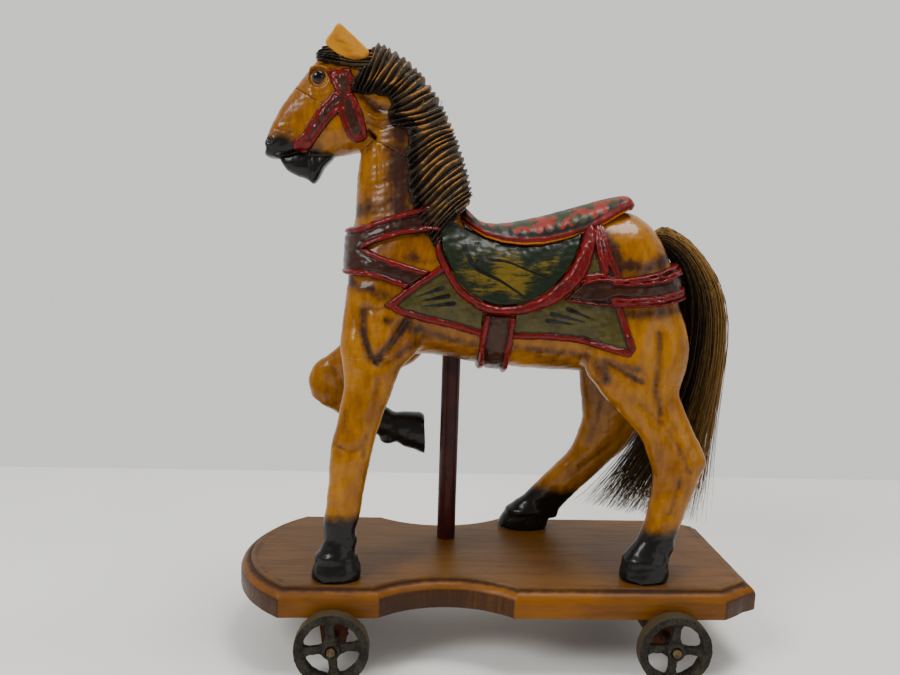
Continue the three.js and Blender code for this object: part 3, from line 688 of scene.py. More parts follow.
@dataclass(frozen=True)
class SeatPaint:
    """Red rim, black band with scallops, and salmon with green patches above."""

    rim: tuple = paint(112, 8, 4)
    wine: tuple = paint(70, 7, 5)
    black: tuple = paint(22, 17, 12)
    salmon: tuple = paint(124, 32, 14)
    green: tuple = paint(42, 50, 24)
    yellow: tuple = paint(190, 104, 12)
    tooth: float = 7.0

    def material(self) -> bpy.types.Material:
        """Builds the finish; it reads the marks band, along, tail and tip."""
        s = Shader("seat_paint")
        band, along = s.mark("band"), s.mark("along")
        fine = s.noise(430, 4, 0.65)
        cloud = s.noise(70, 3)
        wobble = (cloud - 0.5) * 1.6
        phase = s.node("Math", {"operation": "FRACT"}, {0: (along + wobble) * (1.0 / self.tooth)})
        arch = ((phase * 2.0 - 1.0) ** 2.0) ** 1.5
        top = s.blend((cloud + (fine - 0.5) * 0.2).step(0.48, 0.54), self.salmon, self.green)
        top = s.blend((s.noise(240, 4) + (band - 12.0) * 0.03).step(0.6, 0.72), top, self.black)
        teeth = (band - arch * 4.4 + (fine - 0.5) * 0.7).step(4.6, 5.1)
        colour = s.blend(teeth, self.black, top)
        edge = s.blend((cloud * 0.6 + fine * 0.4).step(0.44, 0.66), self.rim, self.wine)
        red = (band + (fine - 0.5) * 0.6 - s.mark("tail")).step(2.9, 2.5)
        colour = s.blend(red, colour, edge)
        colour = s.blend((band + (fine - 0.5) * 0.8).step(-0.25, -0.5), colour, self.yellow)
        colour = s.blend(s.mark("tip").step(0.4, 0.7), colour, edge)
        return s.finish(colour, 0.4 + cloud * 0.2, fine * 0.5 + cloud * 0.5, 0.00025,
                        Coat_Weight=0.12, Coat_Roughness=0.15)


@dataclass(frozen=True)
class EyeGlass:
    """Black glass with a brown iris ring."""

    pupil: tuple = paint(6, 6, 8)
    ring: tuple = paint(70, 40, 34)

    def material(self) -> bpy.types.Material:
        """Builds the finish; it reads the mark ring."""
        s = Shader("eye_glass")
        colour = s.blend((s.mark("ring") + (s.noise(900, 2) - 0.5) * 0.15).step(0.62, 0.72),
                         self.pupil, self.ring)
        return s.finish(colour, 0.04, Coat_Weight=0.3, Coat_Roughness=0.02)


@dataclass(frozen=True)
class TailHair:
    """Horsehair: black-brown inside and tan outside."""

    dark: tuple = paint(16, 11, 7)
    tan: tuple = paint(146, 108, 52)

    def material(self) -> bpy.types.Material:
        """Builds the finish; it reads the mark tan."""
        s = Shader("tail_hair")
        mixed = (s.mark("tan") + (s.noise(300, 3) - 0.5) * 0.4).step(0.15, 1.0)
        return s.finish(s.blend(mixed, self.dark, self.tan), 0.42 + s.noise(900, 2) * 0.2)


@dataclass(frozen=True)
class CastIron:
    """Rough painted casting, worn brown on its edges."""

    grey: tuple = paint(60, 56, 46)
    dark: tuple = paint(28, 26, 22)
    rust: tuple = paint(74, 62, 42)

    def material(self) -> bpy.types.Material:
        """Builds the finish; it reads the mark worn."""
        s = Shader("wheel_iron")
        pits = s.noise(650, 5, 0.7)
        cloud = s.noise(120, 4)
        colour = s.blend((pits * 0.6 + cloud * 0.4).step(0.4, 0.62), self.dark, self.grey)
        worn = (s.mark("worn") + (pits - 0.5) * 0.9).step(0.5, 0.95)
        colour = s.blend(worn * 0.75, colour, self.rust)
        return s.finish(colour, 0.5 + pits * 0.25, pits * 0.8 + cloud * 0.4, 0.0006, Metallic=0.3)


class Finish(Enum):
    """Every finish on the object, by the slot that it fills."""

    HONEY = ("honey_paint", HoneyPaint())
    BOARD = ("platform_wood", BoardFinish())
    BLOCK = ("block_wood", BrushedPaint(
        "block_wood", paint(92, 50, 30), paint(44, 24, 16), 0.55, 0.0, size=60.0, grit=0.0004))
    POLE = ("pole_paint", BrushedPaint(
        "pole_paint", paint(64, 14, 10), paint(38, 10, 8), 0.42, 0.1, size=90.0))
    MANE = ("mane_paint", ManePaint())
    EAR = ("ear_paint", EarPaint())
    FLAP = ("flap_paint", FlapPaint())
    CLOTH = ("cloth_paint", BorderedPaint(
        "cloth_paint", paint(74, 66, 26), paint(56, 48, 18), strokes=True))
    RED = ("red_paint", BorderedPaint("red_paint", paint(104, 4, 4), paint(80, 5, 4)))
    SEAT = ("seat_paint", SeatPaint())
    STRAP = ("strap_paint", BorderedPaint("strap_paint", paint(58, 28, 14), paint(38, 17, 8)))
    EYE = ("eye_glass", EyeGlass())
    TAIL = ("tail_hair", TailHair())
    WHEEL = ("wheel_iron", CastIron())
    STEEL = ("axle_steel", BrushedPaint(
        "axle_steel", paint(104, 88, 62), paint(54, 44, 32), 0.45, 0.0, 0.7, size=300.0))

    @cache
    def material(self) -> bpy.types.Material:
        """This finish's material, made once."""
        return self.value[1].material()


def dress(made: bpy.types.Object, finish: Finish, body: str = HORSE,
          nodes: Sequence[str] = ()) -> bpy.types.Object:
    """Paints a new piece and ties it to the frame.

    Args:
        made: the piece.
        finish: its paint.
        body: the frame's body that it rides on.
        nodes: the frame's nodes that it stands for.

    Returns:
        The same piece.
    """
    made.data.materials.clear()
    made.data.materials.append(finish.material())
    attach(made, body)
    if nodes:
        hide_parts(*nodes)
    log.info("%s: %d faces", made.name, len(made.data.polygons))
    return made


def repaint(node: str, finish: Finish) -> None:
    """Gives a node of the frame its finish.

    Args:
        node: its name.
        finish: its paint.
    """
    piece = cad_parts[node]
    piece.data.materials.clear()
    piece.data.materials.append(finish.material())


# ---- the carved horse


@dataclass(frozen=True)
class Cut:
    """A groove or a swelling on the horse's sides, drawn in the side view.

    Attributes:
        line: its middle, as y and z in mm.
        depth: how deep it is; less than nought swells out.
        width: its half width.
        darken: how dark it is, from 0 to 1.
        side: 1 for the left side only, -1 for the right, 0 for both.
    """

    line: Line
    depth: float
    width: float
    darken: float = 0.0
    side: int = 0

    def strength(self, y: Array, z: Array) -> Array:
        """1 along the middle, falling to 0 beyond the width."""
        return bell(line_distance(y, z, self.line), self.width)

    def on_side(self, x: Array) -> Array:
        """How much of the cut shows.

        Args:
            x: distances from the horse's middle.

        Returns:
            0 to 1 for each.
        """
        if self.side:
            return eased(3.0, 9.0, x * self.side)
        return eased(3.0, 9.0, np.abs(x))


@dataclass(frozen=True)
class Swelling:
    """A rounded lump or hollow on both sides of the horse, or on one.

    Attributes:
        centre: its middle, with x for the left side.
        radii: its reach along x, y and z.
        blend: how softly it joins.
        sides: which sides it is on.
        hollow: True for a hollow.
    """

    centre: Row
    radii: Row
    blend: float = 4.0
    sides: tuple[int, ...] = (1, -1)
    hollow: bool = False

    def apply(self, block: Block, values: Array) -> Array:
        """Joins it to a shape, or hollows it out.

        Args:
            block: the samples.
            values: distances to the shape there.

        Returns:
            The new distances.
        """
        x, y, z = self.centre
        for side in self.sides:
            ball = block.ball((x * side, y, z), self.radii)
            join, lump = (soft_max, -ball) if self.hollow else (soft_min, ball)
            values = join(values, lump, self.blend)
        return values


@dataclass
class CarvedHorse:
    """Trunk, neck, head and legs, carved as one shape and parted at the glue seams."""

    barrel: tuple[Row, ...] = (
        (-97.5, 250, -97.5, 200, 0, 12), (-96, 262, -96, 192, 0, 22), (-92, 268, -92, 186, 0, 28),
        (-84, 272, -84, 183.5, 0, 32), (-70, 274, -70, 184, 0, 34), (-52, 274, -52, 189, 0, 34.5),
        (-34, 272, -34, 187.5, 0, 34), (-16, 269, -16, 184.5, 0, 34), (2, 268, 2, 182.8, 0, 34),
        (20, 271, 20, 181.2, 0, 34), (40, 276.5, 40, 180.4, 0, 34.5), (56, 280.5, 56, 180.2, 0, 35),
        (72, 283.5, 72, 181.5, 0, 36), (84, 283.5, 84, 184, 0, 36.5), (93, 278, 93, 188, 0, 35.5),
        (101, 268.5, 101, 195, 0, 32.5), (107, 256, 107, 204, 0, 28), (111.5, 246, 111.5, 214, 0, 21),
        (113.5, 238, 113.5, 224, 0, 12),
    )
    neck: tuple[Row, ...] = (
        (-95, 246, -22, 240, 0, 31), (-94.5, 262, -25, 262, 0, 29), (-94, 276, -27, 280, 0, 25),
        (-93.8, 290, -29, 294, 0, 21.5), (-93.3, 302, -33, 308, 0, 19), (-91.5, 313, -37.5, 319, 0, 17.5),
        (-87, 323, -43.5, 331, 0, 16.5), (-84, 331, -49.5, 341.5, 0, 16), (-86, 341, -56.5, 352, 0, 15.5),
        (-91, 352, -65.5, 362.5, 0, 14.5), (-97, 362, -76, 370.5, 0, 13), (-102, 370, -87, 376.5, 0, 10),
    )
    skull: tuple[Row, ...] = (
        (-108, 379.5, -82, 362, 0, 9), (-112.5, 377.5, -78, 352, 0, 12.5), (-118, 372.5, -78, 340, 0, 15),
        (-123, 366, -82, 328.5, 0, 16.5), (-128, 359.5, -91, 318, 0, 16), (-134, 352, -101.5, 314, 0, 15),
        (-139.5, 344.5, -112, 312, 0, 13.5), (-144.5, 336, -121, 312.5, 0, 12.3),
        (-148.3, 328, -129, 313, 0, 11.8), (-150, 320, -136.5, 311.5, 0, 11),
        (-148.8, 314, -142, 310.8, 0, 8),
    )
    jaw: tuple[Row, ...] = (
        (-141, 312, -141, 308.5, 0, 5), (-137.5, 313, -137.5, 303.5, 0, 7.5),
        (-131, 316, -131, 300, 0, 8.5), (-125, 316, -125, 298, 0, 8.5), (-121, 316, -121, 295.4, 0, 8),
        (-117.5, 315, -117.5, 298.8, 0, 8), (-113.5, 314, -113.5, 306, 0, 8), (-109, 314, -109, 311, 0, 7),
    )
    left_front: tuple[Row, ...] = (
        (-95.6, 230.3, -62.1, 234.5, 22, 10), (-99.6, 207.6, -55.8, 211.8, 25, 13),
        (-100.4, 194.5, -51.7, 196.6, 28, 13), (-98.2, 181.9, -61.9, 184.5, 30, 12.5),
        (-97.8, 169.4, -66.7, 172.5, 32, 11.5), (-101.6, 146.8, -75.5, 146.8, 36, 10),
        (-104.6, 135.1, -78.6, 134.1, 38, 9.5), (-105.4, 111.5, -83.2, 111, 40.5, 8.5),
        (-107.7, 89.4, -86.4, 90.4, 43.5, 8), (-107.5, 78.8, -91, 78.8, 44.5, 7.2),
        (-109.6, 73, -89.2, 72.5, 45, 8.4), (-112.2, 66.2, -86.6, 67.2, 45.5, 10),
        (-114.4, 58.4, -84.2, 60.4, 46, 11.5), (-114.6, 54.9, -84.4, 54.9, 46, 11.8),
    )
    left_hind: tuple[Row, ...] = (
        (71.2, 234.7, 106, 234.7, 20, 12), (61.7, 213.4, 114.5, 217.5, 25, 13),
        (52.7, 196.3, 118.1, 201.4, 28, 13.5), (53.5, 184.1, 117.2, 188.2, 29, 13),
        (59.4, 176.1, 114.4, 178.2, 30, 12.5), (65.3, 168.2, 112.9, 172.3, 31, 11.5),
        (74.2, 160.2, 114.4, 166.3, 32, 10.5), (89.5, 142.7, 121.9, 149.3, 35, 9.5),
        (97, 124.1, 130.7, 131.2, 37, 9.5), (98, 115.4, 127.3, 119.4, 38, 9),
        (95.5, 97.5, 118.7, 97, 40, 8), (90.4, 81.3, 113, 80.3, 42, 7.5), (84.1, 72.7, 109.7, 70.2, 43, 9),
        (80.3, 65.7, 108.6, 66.2, 44, 10.5), (78.7, 59, 109.5, 60, 44.5, 11.3),
        (78.5, 54.9, 108.7, 54.9, 45, 11.3),
    )
    right_hind: tuple[Row, ...] = (
        (58.5, 231, 101, 236.8, -20, 12), (55.9, 213, 111, 217.9, -25, 13),
        (56.5, 196.9, 114.8, 200.8, -28, 13.5), (59.9, 183.8, 116, 187.7, -30, 13),
        (62.6, 172.7, 116.7, 172.7, -31, 12.5), (64.3, 160.6, 118, 158.6, -32, 12),
        (66.3, 147.4, 118, 143.4, -33, 11.5), (66.8, 136.2, 112, 131.2, -34, 11),
        (59.4, 114, 88.5, 106.9, -37, 10), (42.9, 95, 67.1, 83.9, -40, 9), (29.8, 79.3, 52.6, 67, -43, 8.5),
        (22.3, 73.4, 48.2, 61.5, -44, 9.5), (14.5, 64, 47.1, 56.5, -44.5, 10.8),
        (10.5, 57, 45, 50.5, -45, 11.2),
    )
    forearm: tuple[Row, ...] = (
        (-87.4, 225.8, -50.2, 216, -24, 12), (-98.4, 201, -46.7, 191.1, -27, 12.5),
        (-105.5, 188.9, -52.1, 180, -29, 12), (-112.6, 182.2, -64, 172.8, -30.5, 11.5),
        (-119.1, 177.6, -77.9, 164.6, -31.5, 11), (-124.2, 172, -91.8, 154.6, -32, 10.5),
        (-126.7, 163.5, -103.8, 146, -32.5, 10.5), (-125.2, 155, -111.8, 145.5, -32.5, 9),
    )
    cannon: tuple[Row, ...] = (
        (-121.7, 161.5, -121.7, 151.5, -32.5, 8.5), (-111.8, 162.5, -115.7, 146, -32.5, 10),
        (-99.9, 157.4, -106.3, 140.5, -33, 9.5), (-87.9, 151.4, -92.9, 132.5, -33, 9),
        (-76.9, 146.4, -80.9, 126, -33, 8.5), (-71, 143.9, -72, 123.8, -33, 8.5),
        (-66.5, 141.5, -66, 121, -33, 9), (-58, 141.5, -59, 117, -33, 10),
        (-50, 141.3, -51, 114.4, -33, 11), (-45.8, 139.5, -44.8, 112.1, -33, 11.5),
    )
    head_seam: Line = ((-160, 370.1), (-20, 286.1))
    hind_seam: Line = ((30, 185), (140, 175.5))
    front_seam: Line = ((-125, 187.5), (-30, 196.5))
    collar_seam: float = 268.0
    deck: float = 54.7
    eye: tuple[float, float] = (-117.0, 359.0)
    step: float = 0.95
    fine_step: float = 0.6
    body_cuts: tuple[Cut, ...] = (
        Cut(((-86.4, 219), (-85.6, 204), (-81, 191)), 2.6, 3.4, 1.0),
        Cut(((-60, 213), (-67, 202), (-77.5, 188.5)), 2.8, 3.4, 1.1),
        Cut(((-86, 222), (-78, 219.5), (-71, 222)), 0.9, 2.2, 0.5),
        Cut(((-74, 186), (-61, 195.6), (-50, 202)), 1.0, 3.0, 0.6),
        Cut(((-72, 206), (-73, 198)), -2.0, 6.0),
        Cut(((-92, 200), (-90, 186)), -1.2, 5.0),
        Cut(((56, 198), (60, 188), (66, 178)), 1.0, 3.0, 0.5),
        Cut(((96, 210), (96.5, 195), (95, 176), (99, 160)), 1.5, 3.0, 0.7),
        Cut(((66, 191), (75, 185.5), (86, 180)), 1.2, 2.6, 0.9),
        Cut(((84, 205), (82, 192)), -1.6, 8.0),
        Cut(((106, 205), (106, 188)), -1.4, 6.0),
        Cut(((62, 270), (69, 250), (86, 246)), 0.0, 6.0, 0.75),
        Cut(((100, 262), (108, 252)), 0.0, 5.0, 0.6),
        Cut(((-45, 197), (-20, 191), (8, 196), (40, 188)), 0.0, 4.5, 0.45),
        Cut(((-96, 236), (-78, 230), (-64, 226)), 0.0, 5.0, 0.75),
        Cut(((-72, 214), (-45, 205), (-15, 198)), 0.0, 3.6, 0.7),
        Cut(((8, 197), (45, 195), (82, 188)), 0.0, 4.0, 0.7),
        Cut(((72, 221), (92, 221), (112, 226)), 0.0, 4.5, 0.75),
        Cut(((66, 262), (70, 250), (88, 251), (104, 257)), 0.0, 5.5, 0.9),
        Cut(((60, 190), (64, 182)), 0.6, 5.5, 0.8),
        Cut(((-46, 268), (-60, 266)), 0.0, 3.0, 0.5),
        Cut(((-60, 252), (-45, 250)), 0.0, 3.5, 0.6),
        Cut(((-93, 170), (-96, 150), (-99, 130)), 0.5, 2.2, 0.35, 1),
        Cut(((-76, 178), (-81, 152), (-84, 132)), 0.7, 2.4, 0.5, 1),
        Cut(((-102, 138), (-92, 134), (-82, 138)), 0.6, 2.2, 0.45, 1),
        Cut(((-96, 128), (-96, 104)), -0.9, 4.0, 0.0, 1),
        Cut(((104, 150), (112, 138), (118, 124)), 0.6, 2.6, 0.5, 1),
        Cut(((112, 118), (107, 98)), 0.5, 2.0, 0.5, 1),
        Cut(((84, 168), (100, 154)), 0.8, 3.0, 0.5, 1),
        Cut(((90, 160), (100, 140), (98, 124)), 0.0, 4.0, 0.35, 1),
        Cut(((78, 160), (76, 140), (70, 120)), 0.6, 2.6, 0.5, -1),
        Cut(((100, 150), (88, 124), (66, 104)), 0.5, 3.0, 0.4, -1),
        Cut(((-110, 176), (-100, 160)), 0.6, 2.6, 0.5, -1),
    )
    head_cuts: tuple[Cut, ...] = (
        Cut(((-142.5, 311.8), (-136.5, 312.8), (-129.5, 315), (-123.5, 315.3)), 1.6, 0.95, 0.3),
        Cut(((-122.4, 314), (-121.6, 296)), 0.8, 0.8, 0.3),
        Cut(((-128, 315), (-124, 322), (-123, 330)), 0.5, 1.6, 0.3),
        Cut(((-94, 344), (-87, 337.5), (-80, 335.5), (-71, 337)), -1.6, 1.3, 0.0),
        Cut(((-91, 349), (-82, 342), (-74, 341)), 1.5, 3.2, 0.7),
        Cut(((-86, 333), (-78, 331), (-71, 333)), 0.9, 1.6, 0.6),
        Cut(((-86, 328), (-82, 324.5)), 1.8, 1.3, 1.0),
        Cut(((-123, 353), (-120, 344), (-114, 336)), -0.7, 2.6, 0.0),
        Cut(((-96, 318), (-104, 313.5), (-112, 312.5)), 0.5, 2.0, 0.5),
        Cut(((-69, 332), (-66.5, 310), (-67, 284)), 0.0, 10.5, 1.05),
        Cut(((-78, 322), (-80, 300), (-84, 282)), 0.0, 5.0, 0.35),
        Cut(((-94, 279), (-80, 281), (-60, 288)), 0.0, 7.0, 0.8),
        Cut(((-76, 320), (-61, 312)), 0.5, 0.5, 0.9),
        Cut(((-80, 317), (-79, 296)), 0.7, 1.3, 0.3),
        Cut(((-150, 322), (-143, 327), (-134, 326)), 0.6, 1.8, 0.2),
        Cut(((-124, 372), (-121, 366.5), (-112, 368)), 0.7, 1.5, 0.5),
    )
    swellings: tuple[Swelling, ...] = (
        Swelling((8.5, -97, 335), (9.5, 19, 18), 4.0),
        Swelling((11.0, -117.0, 365.0), (3.4, 5.0, 2.0), 3.0),
        Swelling((8.2, -144.5, 320), (4.6, 5.6, 5.2), 3.5),
        Swelling((13.6, -147.2, 320.5), (3.0, 2.5, 1.9), 1.4, (1, -1), True),
        Swelling((3.5, -146.2, 313.6), (7.0, 4.6, 2.8), 2.5),
    )

    def above(self, y: Array, z: Array, seam: Line) -> Array:
        """How far above a seam each place is.

        Args:
            y, z: places in the side view.
            seam: two points on it.

        Returns:
            The distance, negative below.
        """
        (y0, z0), (y1, z1) = seam
        slope = (z1 - z0) / (y1 - y0)
        return (z - z0 - slope * (y - y0)) / math.hypot(1.0, slope)

    def carved(self, block: Block, values: Array, cuts: Sequence[Cut]) -> Array:
        """Cuts the grooves and raises the swellings.

        Args:
            block: the samples.
            values: distances to the plain shape.
            cuts: what to cut.

        Returns:
            Distances to the carved shape.
        """
        for cut in cuts:
            if cut.depth:
                values = values + cut.depth * cut.strength(block.y, block.z) * cut.on_side(block.x)
        values = values + 0.22 * waves(block.y, block.z, 17.0, 5) + 0.12 * waves(block.y, block.z, 6.0, 9)
        return values

    def stains(self, form: Form, cuts: Sequence[Cut]) -> None:
        """Marks how dark the varnish lies, where shade is painted under the belly, and where the black paint
        is.

        Args:
            form: the piece.
            cuts: the cuts that hold varnish.
        """
        x, y, z = form.points.T
        dark = np.zeros(len(x))
        for cut in cuts:
            dark = np.maximum(dark, cut.darken * cut.strength(y, z) * cut.on_side(x))
        # Painted shade: darker near the horse's middle plane under the belly and on the legs' inner faces,
        # between z 150 and 240.
        under = 0.35 * eased(24.0, 6.0, np.abs(x)) * (z < 240) * (z > 150)
        form.marks["dark"] = np.clip(dark + under, 0, 1)
        left, right = x > 0, x <= 0
        feet = np.where(left & (y < 0), eased(108, 82, z), 0.0)
        feet = np.maximum(feet, np.where(left & (y > 0), eased(101, 74, z), 0.0))
        feet = np.maximum(feet, np.where(right & (y > 0), eased(100, 74, z), 0.0))
        raised = eased(-92, -72, y) * (z < 152) * (y < 0)
        feet = np.maximum(feet, np.where(right, raised, 0.0))
        dipped = ((-160, 322), (-137, 322), (-128, 318), (-119, 316), (-108, 312.5), (-103, 300),
                  (-120, 285), (-160, 285))
        muzzle = eased(-9.0, 9.0, 2.0 - outline_distance(y, z, dipped))
        muzzle = np.where(z > 285, muzzle, 0.0)
        form.marks["black"] = np.maximum(feet, muzzle)

    def carve(self) -> None:
        """Works out both blocks: the body with its legs, and the head with the neck."""
        step, fine = ((self.step, self.fine_step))
        body = self.body = Block((-58, -134, 51), (60, 138, 300), step)
        barrel = body.distance(Limb(self.barrel, 70, 64, 2.35).form())
        values = soft_min(barrel, body.distance(Limb(self.neck, 44, 48).form()), 9.0)
        limbs = {name: Limb(getattr(self, name), 70, 40) for name in (
            "left_front", "left_hind", "right_hind", "forearm", "cannon")}
        parts = {name: body.distance(limb.form()) for name, limb in limbs.items()}
        raised = soft_min(parts["forearm"], parts["cannon"], 4.0)
        for part in (parts["left_front"], parts["left_hind"], parts["right_hind"], raised):
            values = soft_min(values, part, 7.0)
        values = self.hooves(values)
        self.whole = np.maximum(self.carved(body, values, self.body_cuts), self.deck - body.z)
        self.barrel_only = barrel
        head = self.head = Block((-27, -156, 244), (27, -14, 388), fine)
        neck = head.distance(Limb(self.neck, 44, 64).form())
        skull = soft_min(head.distance(Limb(self.skull, 50, 56, 2.5).form()),
                         head.distance(Limb(self.jaw, 30, 40, 2.4).form()), 2.2)
        for swelling in self.swellings:
            skull = swelling.apply(head, skull)
        both = soft_min(neck, skull, 3.5)
        both = soft_min(both, body.resampled(barrel, head), 9.0)
        around = np.hypot(head.y - self.eye[0], head.z - self.eye[1])
        socket = 0.9 * bell(around - 4.9, 1.0) - 0.7 * bell(around - 6.9, 1.0)
        both = both + socket * eased(5.0, 9.0, np.abs(head.x))
        self.head_whole = self.carved(head, both, self.head_cuts)
        self.skull_only = skull

    def hooves(self, values: Array) -> Array:
        """Adds fetlock tufts and the flare over each hoof.

        Args:
            values: distances to the plain legs.

        Returns:
            Distances with the hooves' detail.
        """
        body = self.body
        tufts = (
            ((44.5, -91, 77.5), (6, 3.8, 6)), ((42.5, 108, 76.5), (6, 3.8, 6)), ((-43, 51, 67), (6, 3.8, 5)),
            ((-33, -71, 123), (6.5, 6, 4.5)), ((45, -101, 68.5), (8.5, 12, 2.6)),
            ((43.5, 94, 68), (8.5, 12, 2.6)), ((-44, 28, 68), (8.5, 11, 2.6)),
        )
        for centre, radii in tufts:
            values = soft_min(values, body.ball(centre, radii), 2.5)
        for y, side in ((-86.5, 1), (108.5, 1), (46, -1)):
            cleft = body.ball((45 * side, y, 56), (2.2, 5, 9))
            values = soft_max(values, -cleft, 1.5)
        return values

    def make(self) -> None:
        """Carves, parts and paints every wooden piece of the horse."""
        self.carve()
        body, head = self.body, self.head
        below_hind = self.above(body.y, body.z, self.hind_seam)
        below_front = self.above(body.y, body.z, self.front_seam)
        clear = -self.barrel_only
        legs = {
            "left_hind_leg": common(below_hind, clear, 3 - body.x, 20 - body.y),
            "right_hind_leg": common(below_hind, clear, body.x + 3, 0 - body.y),
            "left_front_leg": common(below_front, clear, 3 - body.x, body.y + 20),
            "right_front_leg": common(below_front, clear, body.x + 3, body.y + 20),
        }
        rest = self.whole
        for name, region in legs.items():
            self.piece(name, body, np.maximum(self.whole, region), self.body_cuts)
            rest = np.maximum(rest, -region - 1.3)
        rest = np.maximum(rest, np.minimum(body.z - self.collar_seam, -24.0 - body.y))
        pole = np.hypot(body.x + 22, body.y + 28.5) - 6.6
        rest = np.maximum(rest, -np.maximum(pole, body.z - 212.0))
        self.piece("trunk", body, rest, self.body_cuts + self.head_cuts)
        seam = self.above(head.y, head.z, self.head_seam)
        face = np.maximum(seam, self.skull_only - 0.4)
        neck = common(seam, 0.4 - self.skull_only, self.collar_seam - head.z, head.y + 24.0)
        self.piece("head_crown", head, np.maximum(self.head_whole, 0.05 - seam), self.head_cuts)
        self.piece("head_face", head, np.maximum(self.head_whole, face), self.head_cuts)
        self.piece("neck", head, np.maximum(self.head_whole, neck), self.head_cuts)
        self.eyes()
        self.ears()

    def piece(self, name: str, block: Block, values: Array, cuts: Sequence[Cut]) -> None:
        """Makes one wooden piece.

        Args:
            name: the frame's name for it.
            block: the samples.
            values: distances to it there.
            cuts: the cuts that stain it.
        """
        form = block.skin(values)
        self.stains(form, cuts)
        dress(form.build(name + "_carved"), Finish.HONEY, nodes=[name])

    def eyes(self) -> None:
        """Glass eyes, each a flattened ball with a brown ring."""
        rings, sides = 22, 40
        for side, sign in (("left", 1), ("right", -1)):
            polar = np.linspace(0.04, math.pi - 0.04, rings)[:, None]
            turn = (np.arange(sides) / sides * 2 * math.pi)[None, :]
            x = 12.7 * sign + 3.3 * np.cos(polar) + 0 * turn
            y = self.eye[0] + 4.35 * np.sin(polar) * np.cos(turn)
            z = self.eye[1] + 4.35 * np.sin(polar) * np.sin(turn)
            points = np.stack([x, y, z], 2).reshape(-1, 3)
            ends = np.array([[12.7 * sign + 3.3, *self.eye], [12.7 * sign - 3.3, *self.eye]])
            form = Form(np.vstack([points, ends]), ring_faces(rings, sides))
            away = form.points[:, 1:] - self.eye
            form.marks["ring"] = np.hypot(away[:, 0], away[:, 1]) / 4.35
            dress(form.build(side + "_glass_eye"), Finish.EYE, nodes=[side + "_eye"])

    def ears(self) -> None:
        """Pointed ears, hollowed on the outer face and leaning out from the poll."""
        outline = ((-104.8, 393.2), (-99, 389), (-91.5, 382.5), (-86.8, 377.8), (-88, 373.8), (-95, 372.0),
                   (-102.5, 373.6), (-109.5, 378.0), (-113, 382.0), (-108.8, 388.5))
        curve = smooth_line([*outline[-2:], *outline, *outline[:3]], 300)
        curve = curve[len(curve) // 7: -len(curve) // 7]
        block = Block((-8, -118, 366), (8, -82, 398), 0.5)
        inside = outline_distance(block.y, block.z, curve)
        fold = line_distance(block.y, block.z, ((-101, 391), (-88.5, 377)))
        hollow = line_distance(block.y, block.z, ((-104, 384), (-97, 378)))
        outer = 2.2 + 0.9 * bell(fold, 2.2) - 2.4 * bell(hollow, 6.5)
        rounded = dome(inside, 2.6)
        for side, sign in (("left", 1), ("right", -1)):
            face = block.x * sign
            values = common(face - outer * rounded, -face - 2.0 * rounded, inside)
            form = block.skin(values)
            x, y, z = form.points.T
            # Painted shade in the hollow of the outer face, and darker towards the root.
            deep = bell(line_distance(y, z, ((-105, 383), (-98, 377))), 4.5) * (x * sign > -0.5)
            root = eased(378.5, 373.5, z) * 0.6
            form.marks["dark"] = np.maximum(deep * 0.55, root)
            lean = 0.16 * sign
            height = z - 373.0
            form.points[:, 0] = x * math.cos(lean) + height * math.sin(lean) + sign * 14.2
            form.points[:, 2] = 373.0 + height * math.cos(lean) - x * math.sin(lean)
            dress(form.build(side + "_carved_ear"), Finish.EAR, nodes=[side + "_ear"])


# ---- saddle and harness

ALL_RED = 99.0


